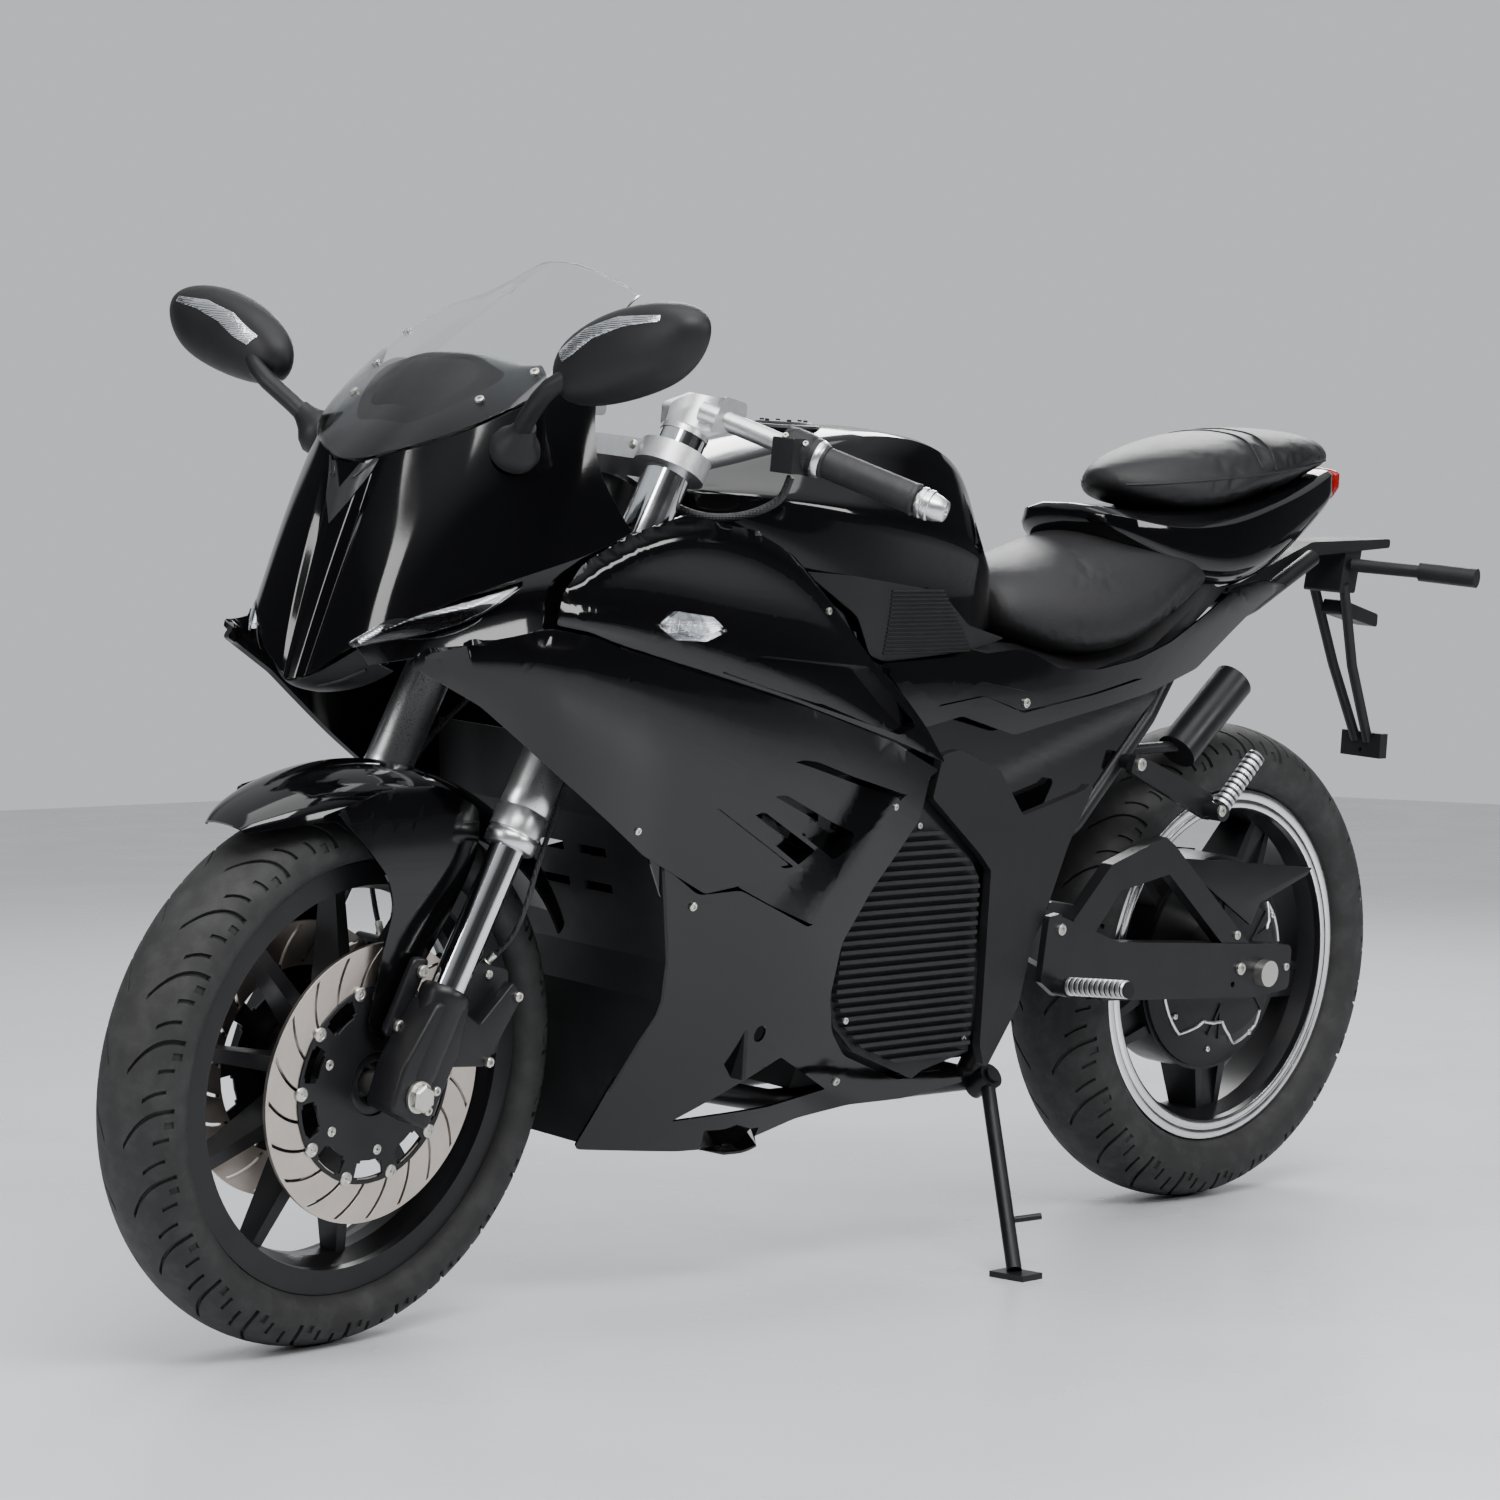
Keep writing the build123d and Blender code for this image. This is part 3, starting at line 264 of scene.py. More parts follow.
def gloss_black():
    """Black paint with a faint flake under its lacquer."""
    f = Finish("gloss_black_paint", Base_Color=(0.002, 0.002, 0.0022), Specular_IOR_Level=0.5, IOR=1.45)
    flake = f.ramp(f.noise(2600.0, 1.0), (0.62, 0.0), (0.74, 1.0))
    f.tint(flake * 0.35, (0.0015, 0.0015, 0.0018), (0.02, 0.021, 0.026))
    f.smudge(0.05, 0.07)
    f.bump(f.noise(420.0, 1.0), 0.00002, 0.35)
    return f.material


def satin_plastic(name, colour, base, grain):
    """Moulded plastic with a fine grain of a given depth."""
    f = Finish(name, Base_Color=colour, Specular_IOR_Level=0.3)
    f.tint(f.noise(14.0, 4.0, 0.55), shade(colour, 0.75), shade(colour, 1.3))
    f.smudge(base, 0.14, 22.0)
    f.bump(f.noise(1500.0, 3.0, 0.7), grain, 0.6)
    return f.material


def powder_coat(name, colour, base):
    """Coated metal with a slightly pebbled surface."""
    f = Finish(name, Base_Color=colour, Specular_IOR_Level=0.28)
    f.tint(f.noise(30.0, 4.0), shade(colour, 0.7), shade(colour, 1.35))
    f.smudge(base, 0.12, 16.0)
    f.bump(f.noise(700.0, 2.0), 0.00006, 0.5)
    return f.material


def bright_metal(name, colour, base, stretch, depth=0.00003):
    """Metal with fine tool marks along the long direction given by the stretch."""
    f = Finish(name, Base_Color=colour, Metallic=1.0)
    lines = f.noise(1.0, 4.0, 0.65, f.node("Mapping", None, {"Vector": f.place(), "Scale": stretch}))
    f.tint(lines, shade(colour, 0.82), shade(colour, 1.1))
    f.rough(lines + f.noise(12.0, 3.0) * 0.4, (0.35, base), (0.95, base + 0.16))
    f.bump(lines, depth, 0.5)
    return f.material


def chrome():
    f = Finish("chromed_tube", Base_Color=(0.78, 0.79, 0.8), Metallic=1.0)
    f.smudge(0.04, 0.08, 30.0)
    f.bump(f.noise(300.0, 2.0), 0.00001, 0.4)
    return f.material


def ground_disc():
    """Disc steel with fine grinding marks and a warm drift of colour."""
    f = Finish("ground_disc_steel", Base_Color=(0.5, 0.45, 0.41), Metallic=1.0)
    fine = f.noise(900.0, 3.0, 0.7)
    coarse = f.noise(18.0, 4.0, 0.6)
    f.tint(coarse, (0.44, 0.385, 0.34), (0.66, 0.6, 0.54))
    f.rough(fine * 0.5 + coarse * 0.5, (0.3, 0.3), (0.8, 0.46))
    f.bump(fine, 0.00003, 0.6)
    return f.material


def rubber(name, colour, base, depth=0.0001):
    """Rubber with dust in patches."""
    f = Finish(name, Base_Color=colour, Specular_IOR_Level=0.35)
    dust = f.ramp(f.noise(35.0, 6.0, 0.65), (0.45, 0.0), (0.8, 1.0))
    f.tint(dust, colour, shade(colour, 1.9, 0.004))
    f.smudge(base, 0.14, 40.0)
    f.bump(f.noise(800.0, 3.0, 0.7), depth, 0.6)
    return f.material


def wave(f, way, scale, distortion, out=1, **more):
    """Bands along an axis of the object."""
    return f.node("TexWave", {"wave_type": "BANDS", "bands_direction": way},
                  {"Vector": f.place(), "Scale": scale, "Distortion": distortion, **more}, out)


def braid():
    """Woven sleeve of the hoses and the loom."""
    f = Finish("braided_sleeve", Base_Color=(0.02, 0.02, 0.021), Specular_IOR_Level=0.4)
    weave = wave(f, "X", 130.0, 0.6) * wave(f, "Z", 130.0, 0.6)
    f.tint(weave, (0.008, 0.008, 0.009), (0.06, 0.06, 0.063))
    f.rough(f.noise(90.0, 3.0), (0.3, 0.42), (0.8, 0.58))
    f.bump(weave, 0.0006, 0.8)
    return f.material


def reflector():
    """Bright ribbed reflector behind a lamp lens."""
    f = Finish("ribbed_reflector", Base_Color=(0.82, 0.84, 0.86), Metallic=1.0)
    ribs = wave(f, "Z", 160.0, 1.5, out=0, Detail=1.0)
    f.rough(ribs, (0.2, 0.08), (0.9, 0.22))
    f.bump(ribs, 0.0004, 0.8)
    return f.material


def seat_leather():
    """Seat cover with a cell-like grain and soft wear."""
    f = Finish("seat_cover_grain", Base_Color=(0.01, 0.01, 0.011), Specular_IOR_Level=0.3)
    cells = f.node("TexVoronoi", {"feature": "DISTANCE_TO_EDGE"}, {"Vector": f.place(), "Scale": 620.0})
    grain = f.ramp(cells, (0.0, 0.0), (0.22, 1.0))
    drift = f.noise(11.0, 4.0, 0.6)
    f.tint(drift, (0.007, 0.007, 0.0075), (0.016, 0.016, 0.017))
    f.rough(drift * 0.7 + grain * 0.3, (0.3, 0.36), (0.9, 0.52))
    f.bump(grain + f.noise(150.0, 3.0) * 0.6, 0.0002, 0.55)
    return f.material


def screen_acrylic():
    """Clear acrylic with a smoke tint at its foot, which fades out upwards (heights in metres)."""
    foot, fade = 0.93, 0.09
    f = Finish("clear_screen_acrylic", Base_Color=(0.9, 0.93, 0.95), IOR=1.3, Transmission_Weight=1.0)
    height = f.node("SeparateXYZ", None, {0: f.place()}, out=2)
    f.tint(f.maths("ADD", (height - foot) / fade, 0.0, clamp=True), (0.12, 0.125, 0.13), (0.9, 0.93, 0.945))
    f.rough(f.noise(14.0, 4.0), (0.3, 0.01), (0.8, 0.05))
    return f.material


def lens(name, colour, clear):
    f = Finish(name, Base_Color=colour, IOR=1.4, Transmission_Weight=clear)
    f.rough(f.noise(60.0, 3.0), (0.3, 0.05), (0.8, 0.1))
    return f.material


def mirror_face():
    f = Finish("mirror_face", Base_Color=(0.86, 0.87, 0.88), Metallic=1.0)
    f.smudge(0.015, 0.03, 12.0)
    return f.material


PAINT = gloss_black()
SATIN = satin_plastic("satin_black_plastic", (0.02, 0.02, 0.021), 0.3, 0.00004)
MATT = satin_plastic("matt_black_plastic", (0.008, 0.008, 0.009), 0.44, 0.00012)
COAT = powder_coat("black_powder_coat", (0.009, 0.009, 0.01), 0.3)
CAST = powder_coat("black_casting_coat", (0.013, 0.013, 0.014), 0.42)
CHROME = chrome()
ALLOY = bright_metal("machined_alloy", (0.74, 0.745, 0.75), 0.22, (60, 900, 900))
FORGED = bright_metal("forged_alloy", (0.66, 0.665, 0.67), 0.32, (200, 200, 200), 0.00008)
ZINC = bright_metal("zinc_plated_steel", (0.62, 0.61, 0.57), 0.28, (260, 260, 260))
RIM_EDGE = bright_metal("turned_rim_edge", (0.8, 0.8, 0.81), 0.12, (40, 900, 40))
DISC = ground_disc()
TYRE = rubber("tyre_rubber", (0.017, 0.017, 0.017), 0.62, 0.00015)
RUBBER = rubber("hose_rubber", (0.015, 0.015, 0.016), 0.5)
BRAID = braid()
LEATHER = seat_leather()
SCREEN = screen_acrylic()
CLEAR = lens("clear_lamp_lens", (0.88, 0.9, 0.92), 1.0)
RED = lens("red_lamp_lens", (0.4, 0.012, 0.012), 0.4)
MIRROR = mirror_face()
REFLECTOR = reflector()

# Making pieces


def whole(bm):
    return bm.verts[:] + bm.edges[:] + bm.faces[:]


def of_kind(geom, kind):
    """The vertices, edges or faces among an operator's results."""
    return [g for g in geom if isinstance(g, kind)]


def chain(bm, points, closed=False):
    """Edges along points of three numbers."""
    verts = [bm.verts.new(p) for p in points]
    after = verts[1:] + verts[:1] if closed else verts[1:]
    return [bm.edges.new(pair) for pair in zip(verts, after)]


def ring(bm, points):
    return chain(bm, points, closed=True)


def circle(bm, radius, height, sides):
    """Edges of a circle at a height."""
    verts = bmesh.ops.create_circle(bm, cap_ends=False, segments=sides, radius=radius)["verts"]
    bmesh.ops.translate(bm, vec=(0, 0, height), verts=verts)
    return list({e for v in verts for e in v.link_edges})


def capped(bm, *rims):
    for rim in rims:
        bmesh.ops.contextual_create(bm, geom=rim)


def bridged(bm, runs):
    """Joins each run or ring of edges to the next."""
    for low, high in zip(runs, runs[1:]):
        bmesh.ops.bridge_loops(bm, edges=low + high)


def outward(bm, direction):
    """Turns all faces of an open surface to look along a direction."""
    way = Vector(direction)
    bmesh.ops.recalc_face_normals(bm, faces=bm.faces[:])
    if sum(f.normal.dot(way) * f.calc_area() for f in bm.faces) < 0:
        bmesh.ops.reverse_faces(bm, faces=bm.faces[:])
    return bm


def both_sides(bm):
    """Adds the mirror image on the right-hand side of what is on the left."""
    copy = bmesh.ops.duplicate(bm, geom=whole(bm))["geom"]
    bmesh.ops.scale(bm, vec=(1, -1, 1), verts=of_kind(copy, BMVert))
    bmesh.ops.reverse_faces(bm, faces=of_kind(copy, BMFace))
    return bm


def joined(*parts):
    """One bmesh of several."""
    made = bmesh.new()
    for part in parts:
        mesh = as_mesh("part", part)
        made.from_mesh(mesh)
        bpy.data.meshes.remove(mesh)
    return made


def assigned(made, nodes):
    """Hides the nodes that a piece stands in for."""
    if nodes:
        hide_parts(*nodes)
    return made


def piece(name, parts, look, *nodes, body="chassis", slot=None, wall=0.0, bevel=0.0, sharp=38.0):
    """Turns a bmesh, or a list of them, into a finished piece on a body. Sizes are in millimetres."""
    bm = joined(*parts) if isinstance(parts, list) else parts
    for f in bm.faces:
        f.smooth = True
    for e in bm.edges:
        e.smooth = not (len(e.link_faces) == 2 and e.calc_face_angle(0.0) > math.radians(sharp))
    mesh = as_mesh(name, bm)
    mesh.transform(FRONT if body in STEERED else MACHINE)
    mesh.materials.append(look)
    made = added(name, mesh)
    if wall:
        solid = made.modifiers.new("wall", "SOLIDIFY")
        solid.thickness = wall * MM
        solid.offset = -1.0
    if bevel:
        edge = made.modifiers.new("edge", "BEVEL")
        edge.width = bevel * MM
        edge.segments = 2
        edge.limit_method = "ANGLE"
        edge.angle_limit = math.radians(sharp)
        edge.harden_normals = True
    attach(made, body)
    return assigned(made, nodes)


def rounded(outline, radius, steps=3):
    """The outline's points (x, z) with each corner cut by a short arc."""
    result = []
    count = len(outline)
    for i, here in enumerate(outline):
        p = Vector(here)
        before = Vector(outline[i - 1]) - p
        after = Vector(outline[(i + 1) % count]) - p
        reach = min(radius, before.length * 0.4, after.length * 0.4)
        a = p + before.normalized() * reach
        b = p + after.normalized() * reach
        for k in range(steps + 1):
            t = k / steps
            result.append(tuple(a * (1 - t) ** 2 + p * 2 * t * (1 - t) + b * t ** 2))
    return result


def drawn_in(outline, middle, share, other_share):
    """An outline made smaller round a middle, by a share in each of its directions."""
    u, w = middle
    return [(u + (a - u) * share, w + (b - w) * other_share) for a, b in outline]


def inside(outline, x, z):
    """True where a point lies inside an outline of (x, z) points."""
    hit = False
    for (x0, z0), (x1, z1) in zip(outline, outline[1:] + outline[:1]):
        if (z0 > z) != (z1 > z) and x < (x1 - x0) * (z - z0) / (z1 - z0) + x0:
            hit = not hit
    return hit


def sections(stations):
    """Rows of (x, y, z) from stations (x, [(y, z), ...]); a row that is full already stays."""
    return [row if isinstance(row, list) else [(row[0], y, z) for y, z in row[1]] for row in stations]


def cage(rows):
    """Surface through rows of control points."""
    bm = bmesh.new()
    bridged(bm, [chain(bm, row) for row in rows])
    bmesh.ops.remove_doubles(bm, verts=bm.verts[:], dist=0.01)
    return bm


def crease(bm, lines, amount):
    """Keeps the edges along some lines of points sharp when the form is smoothed."""
    layer = bm.edges.layers.float.new("crease_edge")
    lines = [[Vector(p) for p in line] for line in lines]
    for e in bm.edges:
        if any(all(min((v.co - p).length for p in line) < 0.5 for v in e.verts) for line in lines):
            e[layer] = amount


def subdivided(bm, levels):
    """The cage's smooth surface as a new bmesh."""
    holder = added("cage", as_mesh("cage", bm))
    modifier = holder.modifiers.new("smooth", "SUBSURF")
    modifier.levels = modifier.render_levels = levels
    modifier.boundary_smooth = "PRESERVE_CORNERS"
    smooth = evaluated(holder)
    bpy.data.objects.remove(holder)
    made = bmesh.new()
    made.from_mesh(smooth)
    bpy.data.meshes.remove(smooth)
    return made


def skin(stations, columns=()):
    """Left-hand side surface from stations; returns y at any x and z."""
    rows = sections(stations)
    bm = cage(rows)
    crease(bm, [[row[k] for row in rows] for k in columns], 1.0)
    tree = BVHTree.FromBMesh(subdivided(bm, 3))

    def height(x, z):
        hit = tree.ray_cast(Vector((x, FAR_OUT, z)), Vector((0, -1, 0)))[0]
        if hit is None:
            hit = tree.find_nearest(Vector((x, NEAR_OUT, z)))[0]
        return hit.y
    return height


def shell(rows, columns=()):
    """Smooth symmetric shell from rows that start on the centre line."""
    bm = cage(rows)
    crease(bm, [[row[k] for row in rows] for k in columns], 0.8)
    bmesh.ops.mirror(bm, geom=whole(bm), merge_dist=0.01, axis="Y")
    bmesh.ops.recalc_face_normals(bm, faces=bm.faces[:])
    return outward(subdivided(bm, 3), (1, 0, 1))


def patch(rows, direction):
    """Smooth open surface through rows of points."""
    return outward(subdivided(cage(rows), 2), direction)


def half_loft(stations, columns=(), levels=2):
    """Closed symmetric body: rows end on the centre line, the first and last are closed off."""
    rows = sections(stations)
    bm = bmesh.new()
    loops = [ring(bm, row + [(x, -y, z) for x, y, z in reversed(row[:-1])]) for row in rows]
    bridged(bm, loops)
    capped(bm, loops[0], loops[-1])
    lines = [[(row[k][0], side * row[k][1], row[k][2]) for row in rows for side in SIDES] for k in columns]
    crease(bm, lines, 0.7)
    bmesh.ops.recalc_face_normals(bm, faces=bm.faces[:])
    return subdivided(bm, levels)


def sliced(bm, axes, pitch):
    """Cuts a flat form into a grid along two axes, so that it can follow a curved surface."""
    for axis in axes:
        places = [v.co[axis] for v in bm.verts]
        level = math.ceil(min(places) / pitch) * pitch
        normal = Vector([float(k == axis) for k in range(3)])
        while level < max(places):
            bmesh.ops.bisect_plane(bm, geom=whole(bm), dist=0.05, plane_co=normal * level, plane_no=normal)
            level += pitch


def side_panel(outline, surface, holes=(), sunk=(), inset=0.0, corner=6.0, pitch=16.0, shape=None):
    """Panels on both sides, drawn in side view and laid on a surface. A sunk place is
    (outline, depth, draft); inset sets the panel back and shape adds to its y."""
    bm = bmesh.new()

    def drawn(places, radius):
        return ring(bm, [(x, 0, z) for x, z in rounded(places, radius)])

    def filled(edges):
        bmesh.ops.triangle_fill(bm, use_beauty=True, edges=edges, normal=(0, -1, 0))

    drawn(outline, corner)
    for hole in holes:
        drawn(hole, 4.0)
    walls = [(drawn(place, 5.0), depth, draft) for place, depth, draft in sunk]
    filled(bm.edges[:])
    for place, _, _ in sunk:
        for f in [f for f in bm.faces if inside(rounded(place, 5.0), *f.calc_center_median().xz)]:
            bm.faces.remove(f)
    for edges, depth, draft in walls:
        out = bmesh.ops.extrude_edge_only(bm, edges=[e for e in edges if e.is_valid])["geom"]
        verts = of_kind(out, BMVert)
        middle = sum((v.co for v in verts), Vector()) / len(verts)
        for v in verts:
            v.co += (middle - v.co).normalized() * draft
            v.co.y = -depth
        filled(of_kind(out, BMEdge))
    bmesh.ops.remove_doubles(bm, verts=bm.verts[:], dist=0.02)
    sliced(bm, (0, 2), pitch)
    for v in bm.verts:
        x, z = v.co.x, v.co.z
        v.co.y += surface(x, z) - inset + (shape(x, z) if shape else 0.0)
    return both_sides(outward(bm, LEFT))


def prism(outline, y_low, y_high, corner=0.0, bevel=0.0):
    """Solid with its outline in side view between two y values."""
    bm = bmesh.new()
    points = rounded(outline, corner) if corner else outline
    face = bm.faces.new([bm.verts.new((x, y_low, z)) for x, z in points])
    out = bmesh.ops.extrude_face_region(bm, geom=[face])["geom"]
    bmesh.ops.translate(bm, vec=(0, y_high - y_low, 0), verts=of_kind(out, BMVert))
    bmesh.ops.recalc_face_normals(bm, faces=bm.faces[:])
    if bevel:
        edges = [e for e in bm.edges if len(e.link_faces) == 2 and e.calc_face_angle(0.0) > math.radians(50)]
        bmesh.ops.bevel(bm, geom=edges, offset=bevel, segments=3, profile=0.5, affect="EDGES",
                        clamp_overlap=True, material=-1)
    return bm


def set_down(bm, place, direction):
    """Turns what was made along Z into a direction and moves it to its place."""
    bmesh.ops.recalc_face_normals(bm, faces=bm.faces[:])
    turn = Vector(direction).to_track_quat("Z", "Y").to_matrix().to_4x4()
    bmesh.ops.transform(bm, matrix=Matrix.Translation(place) @ turn, verts=bm.verts[:])
    return bm


def turned(profile, place, direction, steps=32):
    """Round part from a profile of (distance along, radius), its axis through a place."""
    bm = bmesh.new()
    edges = chain(bm, [(0, r, a) for a, r in profile])
    bmesh.ops.spin(bm, geom=bm.verts[:] + edges, cent=(0, 0, 0), axis=UP, angle=math.tau,
                   steps=steps, use_merge=True)
    bmesh.ops.remove_doubles(bm, verts=bm.verts[:], dist=0.001)
    return set_down(bm, place, direction)


def cap_screw(place, direction, radius, height=None):
    """Socket head screw: a round head with a rolled edge and a hexagonal socket."""
    height = height or radius * 0.9
    bm = bmesh.new()
    socket = circle(bm, radius * 0.5, height, 6)
    head = [circle(bm, r, z, 18) for r, z in ((radius * 0.82, height), (radius, height * 0.8), (radius, 0.0))]
    bridged(bm, [socket] + head)
    deep = bmesh.ops.extrude_edge_only(bm, edges=socket)["geom"]
    bmesh.ops.translate(bm, vec=(0, 0, -height * 0.6), verts=of_kind(deep, BMVert))
    capped(bm, of_kind(deep, BMEdge))
    return set_down(bm, place, direction)


def stud(place, direction, radius):
    """Flat round rivet with a ring groove and a dimple."""
    shares = [(0, 1), (0.35, 1), (0.42, 0.92), (0.42, 0.66), (0.3, 0.6), (0.36, 0.5), (0.36, 0.26),
              (0.22, 0.2), (0.2, 0)]
    return turned([(radius * a, radius * r) for a, r in shares], place, direction, 20)


def bead(points, radius, sides=8, flat=1.0):
    """A thin round bead that follows points, swept as rings."""
    bm = bmesh.new()
    points = [Vector(p) for p in points]
    rings = []
    for before, p, after in zip(points[:1] + points, points, points[1:] + points[-1:]):
        turn = (after - before).normalized().to_track_quat("Z", "Y").to_matrix().to_4x4()
        verts = bmesh.ops.create_circle(bm, cap_ends=False, segments=sides, radius=radius)["verts"]
        bmesh.ops.scale(bm, vec=(1, flat, 1), verts=verts)
        bmesh.ops.transform(bm, matrix=Matrix.Translation(p) @ turn, verts=verts)
        rings.append(list({e for v in verts for e in v.link_edges}))
    capped(bm, rings[0])
    bridged(bm, rings)
    capped(bm, rings[-1])
    bmesh.ops.recalc_face_normals(bm, faces=bm.faces[:])
    return bm


def surface_of(made, matrix=MACHINE):
    """Tree of a made piece in upright millimetres, to lay seams and trim on it."""
    mesh = evaluated(made)
    mesh.transform(matrix.inverted())
    bm = bmesh.new()
    bm.from_mesh(mesh)
    bpy.data.meshes.remove(mesh)
    tree = BVHTree.FromBMesh(bm)
    bm.free()
    return tree


def laid_line(tree, points, direction, lift=0.0):
    """Points dropped onto a surface along a direction."""
    way = Vector(direction).normalized()
    hits = [tree.ray_cast(Vector(p) - way * 400, way)[:2] for p in points]
    return [hit + normal * lift for hit, normal in hits if hit is not None]


def laid_patch(outline, tree, lift, pitch=6.0):
    """Flat outline of places (x, y, z) dropped onto a surface from the front."""
    back = Vector((-1, 0, 0))
    bm = bmesh.new()
    ring(bm, outline)
    bmesh.ops.triangle_fill(bm, use_beauty=True, edges=bm.edges[:], normal=-back)
    sliced(bm, (1, 2), pitch)
    for v in bm.verts:
        hit = tree.ray_cast(v.co - back * 300, back)[0] or tree.find_nearest(v.co)[0]
        v.co = hit - back * lift
    return outward(bm, -back)


# Body side surfaces: stations (x, points (y, z) from low to high).
# Columns: belly, lower side, mid, panel joint, scoop, ridge, wing edge.
SIDE = [
    (765, [(120, 690), (128, 700), (134, 710), (140, 718), (146, 726), (151, 732), (150, 738)]),
    (700, [(110, 600), (130, 640), (150, 670), (165, 690), (176, 712), (190, 742), (181, 758)]),
    (600, [(95, 430), (135, 500), (165, 570), (188, 625), (206, 672), (223, 732), (211, 778)]),
    (500, [(70, 240), (130, 340), (165, 440), (186, 540), (207, 620), (227, 697), (219, 749)]),
    (430, [(62, 186), (118, 290), (158, 400), (180, 500), (202, 585), (222, 668), (216, 732)]),
    (380, [(70, 178), (126, 290), (160, 400), (181, 492), (198, 570), (218, 648), (213, 719)]),
    (272, [(80, 172), (130, 270), (156, 360), (178, 478), (192, 548), (207, 622), (203, 695)]),
    (190, [(86, 171), (132, 262), (155, 350), (174, 460), (184, 540), (196, 620), (194, 674)]),
    (100, [(94, 195), (130, 270), (150, 345), (163, 430), (172, 510), (181, 590), (178, 651)]),
    (30, [(99, 204), (124, 260), (140, 330), (152, 410), (160, 500), (167, 570), (164, 628)]),
    (-60, [(101, 203), (118, 245), (132, 300), (142, 380), (148, 450), (152, 530), (148, 592)]),
    (-190, [(100, 208), (110, 240), (122, 290), (130, 360), (134, 430), (136, 490), (134, 540)]),
]
# Columns: wing edge, lower roll, valley, shoulder, top ridge, rim.
SHOULDER = [
    (640, [(206, 786), (210, 790), (208, 795), (206, 799), (203, 803), (196, 807)]),
    (600, [(208, 774), (215, 784), (211, 792), (208, 800), (207, 812), (199, 819)]),
    (510, [(210, 748), (221, 774), (211, 806), (211, 838), (213, 862), (202, 874)]),
    (400, [(205, 722), (215, 752), (203, 790), (206, 838), (211, 878), (198, 896)]),
    (260, [(194, 690), (204, 722), (192, 764), (192, 806), (196, 846), (182, 866)]),
    (180, [(185, 668), (193, 700), (182, 740), (179, 772), (180, 796), (167, 806)]),
    (100, [(172, 646), (178, 672), (170, 694), (166, 716), (166, 733), (154, 742)]),
    (20, [(162, 622), (166, 640), (160, 656), (158, 668), (158, 678), (150, 688)]),
    (-45, [(154, 602), (157, 608), (156, 612), (155, 616), (154, 620), (148, 626)]),
]
side_y = skin(SIDE, (6,))
shoulder_y = skin(SHOULDER)

WING = [(757, 735), (745, 747), (700, 757), (615, 775), (563, 767), (508, 748), (391, 722), (230, 685),
        (64, 640), (-29, 604), (35, 579), (144, 606), (213, 626), (238, 629), (288, 622), (331, 612),
        (346, 599), (316, 579), (318, 566), (205, 503), (266, 496), (355, 485), (456, 533), (585, 623),
        (680, 694)]
WING_SLOT = [(379, 580), (362, 581), (224, 508), (241, 507)]
SCOOP = [(381, 588), (260, 631), (200, 617), (41, 574), (172, 437), (292, 488), (214, 499), (320, 559)]
VENT_NEAR = [(299, 562), (271, 571), (172, 521), (200, 505)]
VENT_FAR = [(279, 586), (239, 588), (117, 539), (127, 521), (148, 510), (166, 523), (265, 575)]
UPPER = [(612, 779), (600, 812), (566, 843), (508, 872), (428, 893), (320, 878), (250, 852), (204, 818),
         (98, 731), (76, 728), (-3, 656), (-40, 612), (64, 644), (230, 688), (391, 726), (508, 752),
         (563, 771)]
POCKET = [(372, 727), (311, 744), (112, 727), (14, 657), (52, 648), (200, 684)]
INDICATOR = [(474, 778), (448, 792), (398, 786), (378, 772), (408, 762), (450, 764)]
LOWER = [(442, 534), (405, 477), (380, 408), (377, 367), (392, 320), (405, 256), (416, 188),
         (272, 173), (194, 171), (103, 197), (22, 206), (-70, 205), (-173, 216), (-160, 236),
         (-46, 231), (62, 272), (96, 305), (113, 349), (110, 411), (70, 470), (-7, 548),
         (-23, 596), (37, 572), (170, 433), (292, 484), (355, 482)]
BELLY_SLOT = [(300, 213), (170, 281), (72, 231), (160, 218)]
LOCK_HOLE = [(224, 313), (221, 321), (215, 323), (209, 321), (206, 313), (209, 305), (215, 303), (221, 305)]


def vent_fall(x, z):
    """The surround sinks away from its raised rear edge, (41, 574) to (172, 437)."""
    deepest, start, run = 15.0, 14.0, 46.0
    away = ((x - 41) * 137 + (z - 574) * 131) / math.hypot(137, 131)
    return -deepest * max(0.0, min(1.0, (away - start) / run))


def side_fairings():
    """Wing panels, the vent surrounds sunk through them, upper panels and lower fairings."""
    wing = side_panel(WING, side_y, sunk=[(WING_SLOT, 4.0, 1.0)], inset=-3.0, pitch=14.0)
    piece("side_fairing_skins", wing, PAINT, "side_fairings", wall=6.0, bevel=1.2)
    vents = side_panel(SCOOP, side_y, sunk=[(VENT_NEAR, 24.0, 5.0), (VENT_FAR, 24.0, 5.0)], inset=0.5,
                       pitch=9.0, corner=8.0, shape=vent_fall)
    piece("vent_surrounds", vents, PAINT, "vent_scoops", wall=2.5, bevel=1.4)
    upper = side_panel(UPPER, shoulder_y, holes=[INDICATOR], sunk=[(POCKET, 11.0, 7.0)], pitch=8.0,
                       corner=8.0)
    piece("upper_panel_skins", upper, PAINT, "upper_panels", wall=PANEL_T, bevel=1.0)
    lower = side_panel(LOWER, side_y, holes=[BELLY_SLOT, LOCK_HOLE], inset=6.5, corner=9.0)
    piece("lower_fairing_skins", lower, PAINT, "lower_fairings", slot="satin_black", wall=PANEL_T, bevel=0.9)


